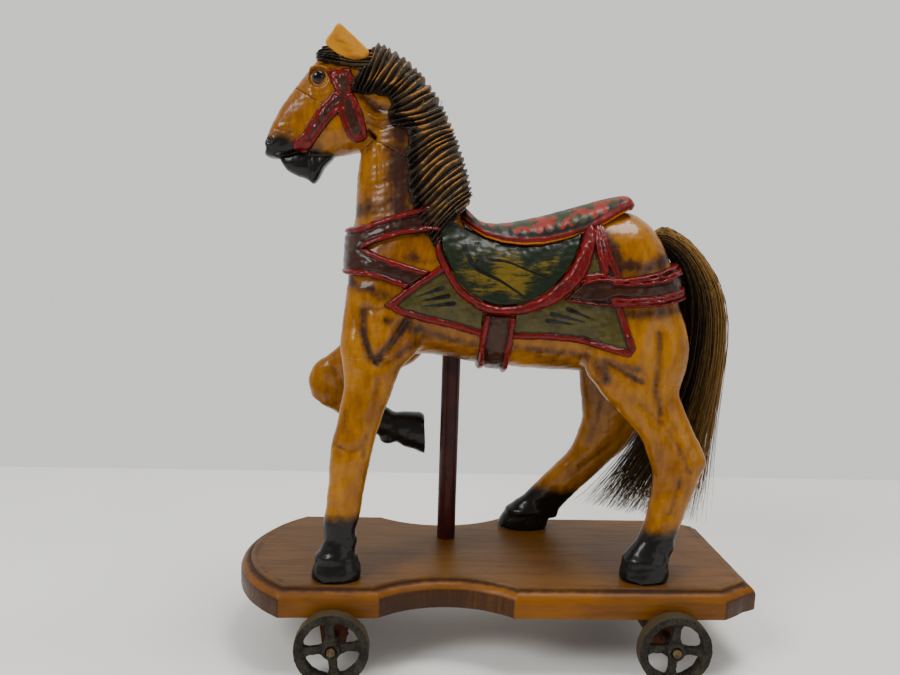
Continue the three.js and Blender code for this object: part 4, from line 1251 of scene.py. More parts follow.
@dataclass(frozen=True)
class Relief:
    """A panel or strap carved proud of the horse, drawn in the side view.

    Attributes:
        outline: its closed outline, as y and z in mm.
        height: how proud its middle stands.
        edges: the lines along which its border runs.
        rim: how wide the border is.
        bead: how much prouder the border stands.
        round: how far the outer edge is rounded off.
        strokes: brush strokes, each from its blunt end to its point.
        clear: an outline that it stops at.
    """

    outline: Line
    height: float
    edges: tuple[Line, ...] = ()
    rim: float = 4.0
    bead: float = 0.9
    round: float = 1.3
    strokes: tuple[Line, ...] = ()
    clear: Line = ()

    def border(self, y: Array, z: Array) -> Array:
        """How far inside the border's inner edge each place is.

        Args:
            y, z: places in the side view.

        Returns:
            The distance, in mm.
        """
        if not self.edges:
            return np.full(np.broadcast(y, z).shape, self.rim, np.float32)
        away = np.minimum.reduce([line_distance(y, z, edge) for edge in self.edges])
        return self.rim - away + 0.35 * waves(y, z, 11.0, 3)

    def inside(self, y: Array, z: Array) -> Array:
        """Distance to the hand-cut outline.

        Args:
            y, z: places in the side view.

        Returns:
            The distance, negative inside it.
        """
        inside = outline_distance(y, z, self.outline)
        if self.clear:
            inside = np.maximum(inside, -outline_distance(y, z, self.clear))
        return inside + 0.28 * waves(y, z, 9.0, 4)

    def top(self, y: Array, z: Array, inside: Array) -> Array:
        """Height of the carved surface over the horse's skin.

        Args:
            y, z: places in the side view.
            inside: what inside() gave.

        Returns:
            The height, in mm.
        """
        border = self.border(y, z)
        swell = np.sqrt(np.clip(1 - (2 * border / self.rim - 1) ** 2, 0, 1)) * (border > 0)
        edge = dome(inside, self.round)
        groove = 0.5 * bell(border + 0.3, 0.8) if self.edges else 0.0
        uneven = 0.16 * waves(y, z, 7.0, 8)
        return (self.height + self.bead * swell - groove + uneven) * edge

    def marks(self, form: Form) -> None:
        """Marks the border, its grooves and the brush strokes.

        Args:
            form: the carved piece.
        """
        _, y, z = form.points.T
        border, inside = self.border(y, z), self.inside(y, z)
        form.marks["rim"] = border
        groove = 0.95 * bell(border + 0.5, 0.85) if self.edges else np.zeros(len(y))
        form.marks["groove"] = np.maximum(groove, 0.8 * bell(inside, 0.9))
        stroke = np.zeros(len(y))
        for (y0, z0), (y1, z1) in self.strokes:
            dy, dz = y1 - y0, z1 - z0
            t = np.clip(((y - y0) * dy + (z - z0) * dz) / (dy * dy + dz * dz), 0, 1)
            away = np.hypot(y - y0 - t * dy, z - z0 - t * dz)
            wide = 1.55 * (1 - t) ** 0.75
            stroke = np.maximum(stroke, 0.5 + (wide - away) * 0.6)
        form.marks["stroke"] = np.clip(stroke, 0, 1)


@dataclass
class Harness:
    """Saddle, flaps, cloth, straps and bridle, each carved over the horse's skin."""

    horse: CarvedHorse
    step: float = 0.6
    crescent_outer: Line = (
        (-44.5, 264), (-43.5, 257), (-42.1, 251), (-38.5, 244), (-33.7, 235.5), (-26.7, 228),
        (-18.8, 222.3), (-11.8, 219.2), (-3, 217.9), (5.2, 218.2), (13.9, 219.6), (21.6, 222.2),
        (30, 225.6), (38.4, 231.2), (46.4, 239.6), (51.8, 249.4), (54.4, 258.2), (56, 268), (56.6, 281),
    )
    crescent_inner: Line = (
        (-41.5, 268), (-40.1, 261), (-39, 256.5), (-37.1, 252.2), (-33.2, 244.8), (-28.4, 237.6),
        (-20.5, 230.6), (-12, 226.2), (-3, 224.4), (5.8, 225), (13.4, 227.2), (20.5, 230.6), (28.3, 236.4),
        (36.4, 245.1), (41.9, 254), (45.9, 263.4), (47.8, 271), (49, 281),
    )
    flap_lines: tuple[Line, ...] = (
        ((-26.5, 262.3), (-23.4, 254.1), (-19, 247.3), (-11.9, 243.4), (-3.3, 239.4), (5.4, 234.1),
         (9.7, 231.4)),
        ((-17.7, 250.8), (-6.6, 251.9), (1.9, 250.7), (10.4, 247.5), (19, 244.2), (23.3, 243)),
    )
    flap_top: Line = (
        (-35, 276), (-24.5, 270.6), (-12.7, 265.6), (-0.9, 262.4), (12, 261), (22, 261.6), (32.2, 264),
        (44, 268.5),
    )
    seat_rows: tuple[tuple[float, ...], ...] = (
        (-27, 287, 277, 7), (-22, 282.5, 273, 12), (-17, 278, 269.8, 17), (-12, 275.2, 267, 21.5),
        (-1.5, 274.7, 264.2, 25), (11, 276.8, 263.2, 26.5), (24, 279.8, 264.2, 26.5),
        (37, 283.7, 267.4, 26), (50, 287.6, 271.8, 24.5), (62.5, 291.5, 277.6, 22), (72, 293.8, 283.6, 20),
        (78, 294.2, 286.5, 18), (81.4, 291.8, 287, 13),
    )

    front_cloth: Line = (
        (-13, 204), (-15, 204.6), (-34.3, 209.6), (-50.8, 213), (-63.2, 216.4), (-74.3, 222.4),
        (-67.3, 228), (-62.1, 232.6), (-51.6, 240.2), (-41, 247.4), (-36, 246), (-13, 240),
    )

    def panels(self) -> dict[str, tuple[Relief, Finish]]:
        """The carved panels of one side, by the node each stands for."""
        outer, inner = smooth_line(self.crescent_outer, 60), smooth_line(self.crescent_inner, 60)
        front = self.front_cloth[:10]
        rear = ((5, 203.2), (29.4, 203.3), (47.5, 201.8), (66.1, 197.4), (82.8, 194), (74.2, 220.5),
                (70, 232))
        return {
            "front_cloth": (Relief(self.front_cloth, 1.5, (front,), 4.3, 0.8, strokes=(
                ((-38.6, 234.2), (-55.4, 228.1)), ((-35.1, 229.4), (-52.1, 225.9)),
                ((-31.7, 224.9), (-53.0, 222.4)))), Finish.CLOTH),
            "rear_cloth": (Relief((*rear, (38, 242), (7.4, 232)), 1.5, (rear,), 4.3, 0.8, strokes=(
                ((38.8, 223.4), (55.9, 216.9)), ((29.2, 220.2), (51.7, 215.2)),
                ((26.5, 215.9), (44.8, 213.9)))), Finish.CLOTH),
            "cloth_corner": (Relief(
                ((40, 232), (50, 262), (54, 284), (60, 282), (62, 270), (65.5, 256.5), (71.5, 243.5),
                 (72, 232)), 1.4,
                (((60, 280), (60.2, 271), (63.2, 256.5), (69.5, 242.5)),
                 ((55.5, 274), (57.6, 259), (61, 247.5)), ((44, 241.5), (56, 243.6), (66, 241.5))),
                2.5, 1.1), Finish.CLOTH),
            "saddle_flap": (Relief((*inner, *self.flap_top[::-1]), 2.4), Finish.FLAP),
            "flap_border": (Relief((*outer, *inner[::-1]), 3.4, (), ALL_RED, 0.0, 3.2), Finish.RED),
        }

    def straps(self) -> dict[str, Relief]:
        """The straps that go right round the horse."""
        upper = ((-110, 268), (-97, 269.4), (-87, 271.2), (-77.5, 275), (-67.4, 278.3), (-57.2, 281.4),
                 (-49, 284))
        lower_edge = ((-44, 268), (-48.3, 267.6), (-62.9, 265.2), (-75, 261.4), (-85.6, 257.2))
        notch = ((-85.6, 257), (-75.7, 252.4), (-66, 249.6), (-57.8, 247.2), (-45.3, 244), (-40, 243))
        bottom = ((-50, 230), (-62.1, 233), (-73.8, 237), (-85.4, 239.4), (-95.3, 239.8), (-110, 239))
        top = ((44.5, 240.6), (56.7, 243.4), (67.5, 243.4), (79, 244.6), (92.9, 247.6), (105.7, 252),
               (130, 258))
        second = ((67, 240.4), (83.8, 241.2), (97.8, 243.6), (107.3, 246.6), (130, 252))
        low = ((35.5, 228.4), (42.9, 227), (53.6, 225.9), (67.4, 225), (79, 225), (96.6, 226.4),
               (112.1, 229.6), (130, 233))
        low_second = ((66, 229), (78.7, 229.4), (96.3, 231), (111.1, 234.8), (130, 240))
        left = ((-14.4, 170), (-14.2, 186), (-14.8, 200), (-12.6, 218.6))
        right = ((6, 170), (5.8, 186), (6.3, 200), (7.4, 217.6))
        return {
            "girth": Relief((*left, *right[::-1]), 2.7, (left, right), 4.3, 0.9),
            "upper_collar": Relief(
                (*upper, (-44, 283), (-38, 268), *lower_edge, (-88, 255.2), (-110, 255.2)), 2.6,
                (upper, lower_edge), 3.9, 0.9),
            "lower_collar": Relief((*notch, (-38, 240), (-44, 232.8), *bottom, (-110, 257), (-86, 257)), 2.5,
                                   (bottom, notch), 3.9, 0.9, clear=self.front_cloth),
            "breeching": Relief((*top, *low[::-1]), 2.9, (top, second, low, low_second), 2.3, 0.9, 1.6,
                                clear=(*self.crescent_outer[4:], (0, 281), (0, 240))),
        }

    def make(self) -> None:
        """Carves and paints every piece of the saddle and harness."""
        step = self.step
        block = Block((-43, -107, 174), (43, 127, 298), step)
        skin = self.horse.body.resampled(self.horse.whole, block)
        for side, sign in (("left", 1), ("right", -1)):
            for name, (relief, finish) in self.panels().items():
                nodes = [] if name == "cloth_corner" else [f"{side}_{name}"]
                self.carve(f"{side}_{name}", block, skin, relief, finish, nodes, sign)
        for name, relief in self.straps().items():
            self.carve(name, block, skin, relief, Finish.STRAP, [name], 0)
        self.seat(skin, block)
        self.bridle()

    def carve(self, name: str, block: Block, skin: Array, relief: Relief, finish: Finish,
              nodes: Sequence[str], sign: int) -> None:
        """Makes one carved piece over the horse's skin.

        Args:
            name: the frame's name for it.
            block: the samples that it is worked out on.
            skin: distances to the horse there.
            relief: its drawing.
            finish: its paint.
            nodes: the frame's nodes that it stands for.
            sign: 1 for the left side, -1 for the right, 0 for both.
        """
        inside = relief.inside(block.y, block.z)
        top = relief.top(block.y, block.z, inside)
        values = np.maximum(skin - top, soft_max(inside, -skin - 0.9, 0.3))
        if sign:
            values = np.maximum(values, 2.0 - block.x * sign)
        form = block.skin(values)
        relief.marks(form)
        if finish is Finish.FLAP:
            self.flourishes(form, relief)
        dress(form.build(name + "_carved"), finish, nodes=nodes)

    def flourishes(self, form: Form, relief: Relief) -> None:
        """Marks a flap's dark flourishes, its brushed middle and its dark top edge.

        Args:
            form: the carved flap.
            relief: its drawing.
        """
        _, y, z = form.points.T
        curves = [smooth_line(drawn, 40) for drawn in self.flap_lines]
        line = np.minimum.reduce([line_distance(y, z, curve) for curve in curves])
        wide = 1.5 - 0.9 * eased(-26, 10, y)
        form.marks["line"] = np.clip(0.5 + (wide - line) * 0.5, 0, 1)
        edge = outline_distance(y, z, relief.outline)
        form.marks["inside"] = np.clip(-edge / 14.0, 0, 1) + 0.35 * eased(10, -5, z - 240)
        form.marks["top"] = np.clip(0.5 + (3.2 - line_distance(y, z, self.flap_top)) * 0.4, 0, 1)

    def seat(self, skin: Array, block: Block) -> None:
        """Makes the saddle's seat with its rim bead and raised cantle.

        Args:
            skin: distances to the horse.
            block: the samples that they are on.
        """
        fine = Block((-31, -30, 255), (31, 85, 299), 0.5)
        rows = [(y, top, y, 2 * rim - top, 0, half) for y, top, rim, half in self.seat_rows]
        values = fine.distance(Limb(rows, 60, 64, 2.2).form())
        table = np.array(self.seat_rows)
        rim = np.interp(fine.y, table[:, 0], table[:, 2]).astype(np.float32)
        band = fine.z - rim
        lip = 1.35 * eased(62, 78, fine.y) * bell(band - 5, 4)
        values = values - bell(band - 1.2, 1.7) - lip + 0.18 * waves(fine.y, fine.z, 9.0, 11)
        values = np.maximum(values, -block.resampled(skin, fine) - 0.6)
        values = np.maximum(values, -band - 1.6)
        form = fine.skin(values)
        _, y, z = form.points.T
        form.marks["band"] = z - np.interp(y, table[:, 0], table[:, 2])
        form.marks["along"] = y + 60.0
        form.marks["tail"] = 3.0 * eased(45, 75, y)
        form.marks["tip"] = eased(76, 80, y)
        dress(form.build("saddle_seat_carved"), Finish.SEAT, nodes=["saddle_seat"])

    def bridle(self) -> None:
        """Makes the bridle's straps, which meet in a knot on each cheek."""
        head = self.horse.head
        patch = ((-112.4, 361.7), (-110, 364.6), (-105, 363.4), (-101.5, 365), (-98, 364.6), (-94, 357.3),
                 (-95.5, 351.5), (-99.3, 346.9), (-106.5, 350), (-108.4, 354.2))
        cheek = ((-107.6, 350.7), (-116, 341.7), (-121.8, 332.5), (-127.6, 323.9), (-133, 320.4),
                 (-132, 315.2), (-125.2, 313.4), (-121.4, 316.3), (-118.2, 321), (-113.6, 327),
                 (-107.1, 335), (-99, 342.4), (-97, 349))
        throat = ((-106, 343.5), (-102.2, 331.3), (-98.8, 323.7), (-94.2, 320.0), (-89.2, 321.6),
                  (-86.4, 324.1), (-87.2, 329.9), (-90, 338.9), (-94.8, 350), (-101.2, 349))
        straps = (patch, cheek, throat)
        inside = np.minimum.reduce([outline_distance(head.y, head.z, strap) for strap in straps])
        inside = inside + 0.25 * waves(head.y, head.z, 5.0, 21)
        knot = bell(np.hypot(head.y + 102.6, head.z - 350), 4.5)
        uneven = 0.3 * waves(head.y, head.z, 5.0, 17)
        top = (1.7 + 1.3 * knot - 0.35 * bell(inside + 2.8, 0.8) + uneven) * dome(inside, 1.8)
        core = np.maximum(self.horse.head_whole - top, soft_max(inside, -self.horse.head_whole - 0.9, 0.3))
        for side, sign in (("left", 1), ("right", -1)):
            form = head.skin(np.maximum(core, 2.0 - head.x * sign))
            _, y, z = form.points.T
            own = np.minimum.reduce([outline_distance(y, z, strap) for strap in straps])
            box = line_distance(y, z, ((-129.5, 319.5), (-124.5, 316.5)))
            red = np.maximum(3.9 + own + 0.6 * waves(y, z, 7.0, 6), 3.5 - box)
            form.marks["rim"] = red - 3.0 * bell(np.hypot(y + 102, z - 350), 4.0)
            form.marks["groove"] = bell(own, 0.8) * 0.9
            dress(form.build(side + "_bridle_carved"), Finish.STRAP, nodes=[side + "_bridle"])


# ---- mane, forelock and tail

CHART_LOW, CHART_HIGH, CHART_STEP = (-128, 250), (-10, 394), 0.5


@dataclass(frozen=True)
class Comb:
    """Carved locks that follow guide lines from one edge of the hair to the other.

    Attributes:
        guides: lines in order across the hair, each from root to tip, as y and z in mm.
        locks: how many carved locks lie between the first and the last guide.
        seed: sets the locks' unevenness.
    """

    guides: tuple[Line, ...]
    locks: float
    seed: int

    def chart(self) -> tuple[Array, Array]:
        """Charts the side view, in squares of CHART_STEP from CHART_LOW to CHART_HIGH.

        Returns:
            The lock that each square is on, from 0 to 1 across the hair, and how far along the
            lock it is, from 0 at the root to 1 at the tip.
        """
        lines = np.stack([catmull_rom(np.array(guide, float), 60) for guide in self.guides])
        locks, marks = 700, 300
        sheet = catmull_rom(lines.reshape(len(lines), -1), locks).reshape(locks, 60, 2)
        places = catmull_rom(np.moveaxis(sheet, 1, 0).reshape(60, -1), marks).reshape(marks, locks, 2)
        across = np.broadcast_to(np.linspace(0, 1, locks)[None, :], (marks, locks)).ravel()
        down = np.broadcast_to(np.linspace(0, 1, marks)[:, None], (marks, locks)).ravel()
        size = [int((high - low) / CHART_STEP) + 2 for low, high in zip(CHART_LOW, CHART_HIGH)]
        index = ((places - CHART_LOW) / CHART_STEP).astype(int).reshape(-1, 2)
        square = tuple(np.clip(index[:, i], 0, size[i] - 1) for i in (0, 1))
        hits = np.zeros(size)
        np.add.at(hits, square, 1.0)
        found = []
        for values in (across, down):
            total = np.zeros(size)
            np.add.at(total, square, values)
            found.append(total / np.maximum(hits, 1.0))
        self.spread(found, hits > 0)
        return found[0], found[1]

    @staticmethod
    def spread(charts: list[Array], known: Array) -> None:
        """Fills the squares that nothing fell on from the squares beside them.

        Args:
            charts: the charts, filled in place.
            known: True where they hold a value.
        """
        beside = ((1, 0), (-1, 0), (0, 1), (0, -1))
        for _ in range(40):
            near = sum(np.roll(known, shift, (0, 1)).astype(float) for shift in beside)
            filled = ~known & (near > 0)
            for chart in charts:
                around = sum(np.roll(np.where(known, chart, 0.0), shift, (0, 1)) for shift in beside)
                chart[filled] = around[filled] / near[filled]
            known = known | filled

    def charted(self, charts: tuple[Array, Array], y: Array, z: Array) -> tuple[Array, Array]:
        """Which lock each place is on, with its fraction, and how far along it.

        Args:
            charts: what chart() gave.
            y, z: places in the side view.

        Returns:
            The lock's number, and 0 at the root to 1 at the tip.
        """
        size = charts[0].shape
        right = np.clip((y - CHART_LOW[0]) / CHART_STEP - 0.5, 0, size[0] - 1.01)
        up = np.clip((z - CHART_LOW[1]) / CHART_STEP - 0.5, 0, size[1] - 1.01)
        right, up = np.broadcast_arrays(right, up)
        i, j = right.astype(int), up.astype(int)
        u, v = right - i, up - j
        found = []
        for chart in charts:
            below = chart[i, j] * (1 - u) + chart[i + 1, j] * u
            above = chart[i, j + 1] * (1 - u) + chart[i + 1, j + 1] * u
            found.append(below * (1 - v) + above * v)
        return found[0] * self.locks, found[1]

    def ridge(self, lock: Array, reach: Array) -> Array:
        """Height of the carved ridges.

        Args:
            lock: the lock that each place is on, with its fraction.
            reach: how far along the lock it is.

        Returns:
            0 in a groove to 1 on a crest.
        """
        rng = np.random.default_rng(self.seed)
        shift = rng.uniform(-0.24, 0.24, int(self.locks) + 4)
        whole = np.floor(lock).astype(int)
        start = whole + shift[np.clip(whole, 0, len(shift) - 1)]
        end = whole + 1 + shift[np.clip(whole + 1, 0, len(shift) - 1)]
        wander = 0.12 * np.sin(reach * 9 + whole * 2.1)
        t = np.clip((lock - start) / (end - start) + wander, 0, 1)
        crest = np.where(t < 0.3, t / 0.3, 1 - (np.clip(t - 0.3, 0, 1) / 0.7) ** 1.6)
        return np.clip(crest, 0, 1)


@dataclass
class Hair:
    """Mane and forelock carved in locks, and a tail of real horsehair."""

    horse: CarvedHorse
    mane_outline: Line = (
        (-86, 372), (-91, 366), (-98, 354.5), (-95, 349.5), (-83, 350), (-75, 348.5), (-72.5, 344.5),
        (-75.5, 338), (-72, 332), (-62.5, 328.5), (-62, 320), (-63.5, 313), (-61.5, 305), (-61.5, 296.5),
        (-59.5, 287.5), (-56.7, 279), (-52.1, 269.5), (-47.3, 263.8), (-43.4, 256.5), (-40.4, 260.5),
        (-36, 270.4), (-29, 277.5), (-19.5, 289), (-12, 292), (-12, 330), (-40, 390), (-84.2, 400),
    )
    mane: Comb = Comb((
        ((-92, 389), (-90, 372), (-97, 351)), ((-86, 388), (-90.2, 369.7), (-95.5, 351.5)),
        ((-78, 386), (-84.6, 365.2), (-92.3, 348.9)), ((-68, 380), (-77.3, 362.4), (-86.6, 348.3)),
        ((-57, 372), (-69.1, 357.2), (-77.8, 347.9)), ((-48, 365), (-63.2, 351.8), (-74.0, 343.5)),
        ((-40, 354), (-58.2, 342.4), (-74.5, 336.8)), ((-34, 344.5), (-51.6, 334.6), (-73.7, 330.5)),
        ((-30, 335), (-48, 326.6), (-63, 316)), ((-27, 329), (-44.6, 319.5), (-61.5, 304)),
        ((-22, 322), (-41.5, 310.5), (-59.5, 290.5)), ((-18, 314), (-38, 299.5), (-56, 281)),
        ((-15, 305), (-35, 290), (-52.5, 272)), ((-14, 297), (-32.5, 283.5), (-49.5, 264.5)),
        ((-15, 290), (-30, 278), (-46, 259)), ((-16, 283), (-28, 271), (-43, 252)),
    ), 38.0, 4)
    forelock_outline: Line = (
        (-123.6, 374.8), (-121, 372.6), (-118.5, 369.8), (-111, 367.6), (-105, 366.2), (-98, 365.8),
        (-91, 363.6), (-84, 366), (-82, 374), (-84.5, 383), (-98, 386), (-112, 386.5), (-119, 383.5),
        (-123, 378.6),
    )
    forelock: Comb = Comb((
        ((-80, 392), (-104, 390), (-124, 384)), ((-80, 386), (-104, 384), (-124, 380.5)),
        ((-80, 378), (-104, 377), (-124.5, 376.8)), ((-80, 371), (-104, 371.5), (-124.5, 374.5)),
        ((-80, 366), (-104, 366.5), (-122, 371.5)), ((-80, 360), (-104, 362), (-121, 368)),
    ), 11.0, 8)
    tail: tuple[Row, ...] = (
        (95, 261.5, 98, 270.5, 0, 3.4), (98, 263.5, 101.5, 273.6, 0, 4.2), (104, 262, 108, 276, 0, 6),
        (111, 256, 121.5, 269.5, 0, 9), (116, 247, 134.5, 257, 0, 11), (118.5, 235, 146.5, 239.5, 0, 12.5),
        (119.4, 220, 152.5, 220, 0, 13.5), (118.8, 204, 154, 202, 0, 14), (117, 187, 153.2, 183, 0, 14.5),
        (113, 170, 151.8, 165, 0, 14.5), (106, 152, 150, 148, 0, 14), (97, 134, 148.5, 130, 0, 13.5),
        (86, 116, 147, 111, 0, 12.5), (74, 100, 145, 93, 0, 11), (64, 88, 142, 76, 0, 9),
    )
    strands: int = 2600

    def make(self) -> None:
        """Carves the mane and the forelock, and plants the tail."""
        self.carved("mane", self.mane_rows(), self.mane_outline, self.mane, 2.6, 2.4)
        self.carved("forelock", None, self.forelock_outline, self.forelock, 2.4, 1.8)
        self.planted_tail()

    def mane_rows(self) -> list[Row]:
        """The neck made deeper along its crest."""
        rows = []
        for front_y, front_z, back_y, back_z, x, half in self.horse.neck:
            length = math.hypot(back_y - front_y, back_z - front_z)
            depth = 5.4 + 2.0 * eased(300, 350, back_z)
            rows.append((front_y, front_z, back_y + depth * (back_y - front_y) / length,
                         back_z + depth * (back_z - front_z) / length, x, half))
        return rows

    def carved(self, name: str, rows: Sequence[Row] | None, outline: Line, comb: Comb, grow: float,
               depth: float) -> None:
        """Carves one patch of hair over the head and neck.

        Args:
            name: the frame's name for it.
            rows: the core it is carved from, or None for the horse's own skin.
            outline: its outline in the side view.
            comb: its locks.
            grow: how proud the grooves stand.
            depth: how much prouder the crests stand.
        """
        head = Block((-35, -128, 246), (35, -12, 393), 0.5)
        skin = self.horse.head.resampled(self.horse.head_whole, head)
        body = self.horse.body.resampled(self.horse.whole, head)
        skin = np.where(head.z < 286, body, skin)
        core = np.minimum(head.distance(Limb(rows, 50, 64).form()), skin) if rows else skin
        charts = comb.chart()
        ridge = comb.ridge(*comb.charted(charts, head.y, head.z))
        inside = outline_distance(head.y, head.z, outline) + 0.5 * waves(head.y, head.z, 6.0, 31)
        uneven = 0.25 * waves(head.y, head.z, 8.0, 12)
        lift = (grow + depth * (ridge - 0.45) + uneven) * dome(inside, 3.0)
        values = common(core - lift, inside, -skin - 0.8)
        form = head.skin(values)
        _, y, z = form.points.T
        lock, reach = comb.charted(charts, y, z)
        form.marks["ridge"] = comb.ridge(lock, reach)
        rim = bell(outline_distance(y, z, outline), 7.0) * (reach > 0.5)
        form.marks["shade"] = np.clip(rim + eased(0.55, 1.0, reach) * 0.4, 0, 1)
        dress(form.build(name + "_carved"), Finish.MANE, nodes=[name])

    def planted_tail(self) -> None:
        """Plants the tail: tapered hairs, black-brown inside and tan outside."""
        rng = np.random.default_rng(17)
        count, steps = self.strands, 18
        path, t, deep = self.fallen(rng, count, steps)
        thick = rng.uniform(0.16, 0.3, count)[:, None] * (1 - 0.75 * np.linspace(0, 1, steps)[None, :] ** 3)
        form = self.tubes(path, thick)
        tan = eased(0.45, -0.55, deep) * 0.75 + rng.uniform(-0.45, 0.55, count)
        shade = np.clip(tan[:, None] * (0.75 + 0.35 * t) + 0.1 * t, 0, 1)
        form.marks["tan"] = np.repeat(shade.ravel(), len(form.points) // shade.size)
        dress(form.build("tail_hair_bundle"), Finish.TAIL, nodes=["tail"])

    def fallen(self, rng: np.random.Generator, count: int, steps: int) -> tuple[Array, Array, Array]:
        """Hairs that leave the rump, arch over and fall in clumps.

        Args:
            rng: the source of unevenness.
            count: how many hairs.
            steps: how many places each hair has.

        Returns:
            Every hair's places, how far down the tail each one is, and how deep in the tail its
            hair lies, from -1 behind to 1 in front.
        """
        table = catmull_rom(self.tail, 120)
        radius = np.sqrt(rng.uniform(0, 1, count)) ** 0.9
        turn = rng.uniform(0, 2 * math.pi, count)
        across, deep = radius * np.cos(turn), radius * np.sin(turn)
        length = np.clip(rng.normal(0.93, 0.07, count) - 0.05 * rng.uniform(0, 1, count) ** 3, 0.6, 1.03)
        t = np.linspace(0, 1, steps)[None, :] * length[:, None]
        index = np.clip(t * 119, 0, 118.999)
        k, f = index.astype(int), (index % 1)[..., None]
        row = table[k] * (1 - f) + table[k + 1] * f
        centre = (row[..., 0:2] + row[..., 2:4]) / 2
        half = (row[..., 0:2] - row[..., 2:4]) / 2
        clump = rng.integers(0, 60, count)
        pull = rng.normal(0, 1, (60, 2))[clump]
        drift = (t**2)[..., None] * (pull * (0.20, 0.28))[:, None, :]
        stray = (t**3) * rng.normal(0, 0.16, count)[:, None]
        wide = across[:, None] * (1 - 0.25 * t) + drift[..., 0] + stray
        into = deep[:, None] * (1 - 0.08 * t) + drift[..., 1] * 0.6 + stray * 0.7
        wobble = 0.5 * np.sin(t * rng.uniform(6, 16, count)[:, None] + rng.uniform(0, 6, count)[:, None]) * t
        y = centre[..., 0] + half[..., 0] * into + wobble
        z = centre[..., 1] + half[..., 1] * into
        x = row[..., 5] * wide + wobble * 0.6
        return np.stack([x, y, z], 2), t, deep

    @staticmethod
    def tubes(path: Array, thick: Array, sides: int = 3) -> Form:
        """Open tubes along many paths at once.

        Args:
            path: the paths, as path number, step, then x, y and z.
            thick: the radius at each step of each path.
            sides: how many sides a tube has.

        Returns:
            One form of four-sided faces.
        """
        count, steps, _ = path.shape
        along = np.gradient(path, axis=1)
        along /= np.linalg.norm(along, axis=2, keepdims=True)
        aside = np.cross(along, np.array([0.3, 1.0, 0.2]))
        aside /= np.linalg.norm(aside, axis=2, keepdims=True) + 1e-9
        over = np.cross(along, aside)
        angle = (np.arange(sides) / sides * 2 * math.pi)[None, None, :, None]
        ring = aside[:, :, None, :] * np.cos(angle) + over[:, :, None, :] * np.sin(angle)
        points = (path[:, :, None, :] + ring * thick[..., None, None]).reshape(-1, 3)
        base = (np.arange(count)[:, None, None] * steps + np.arange(steps - 1)[None, :, None]) * sides
        one = (base + np.arange(sides)).ravel()
        two = (base + (np.arange(sides) + 1) % sides).ravel()
        return Form(points, np.stack([one, two, two + sides, one + sides], 1))


# ---- platform and wheels


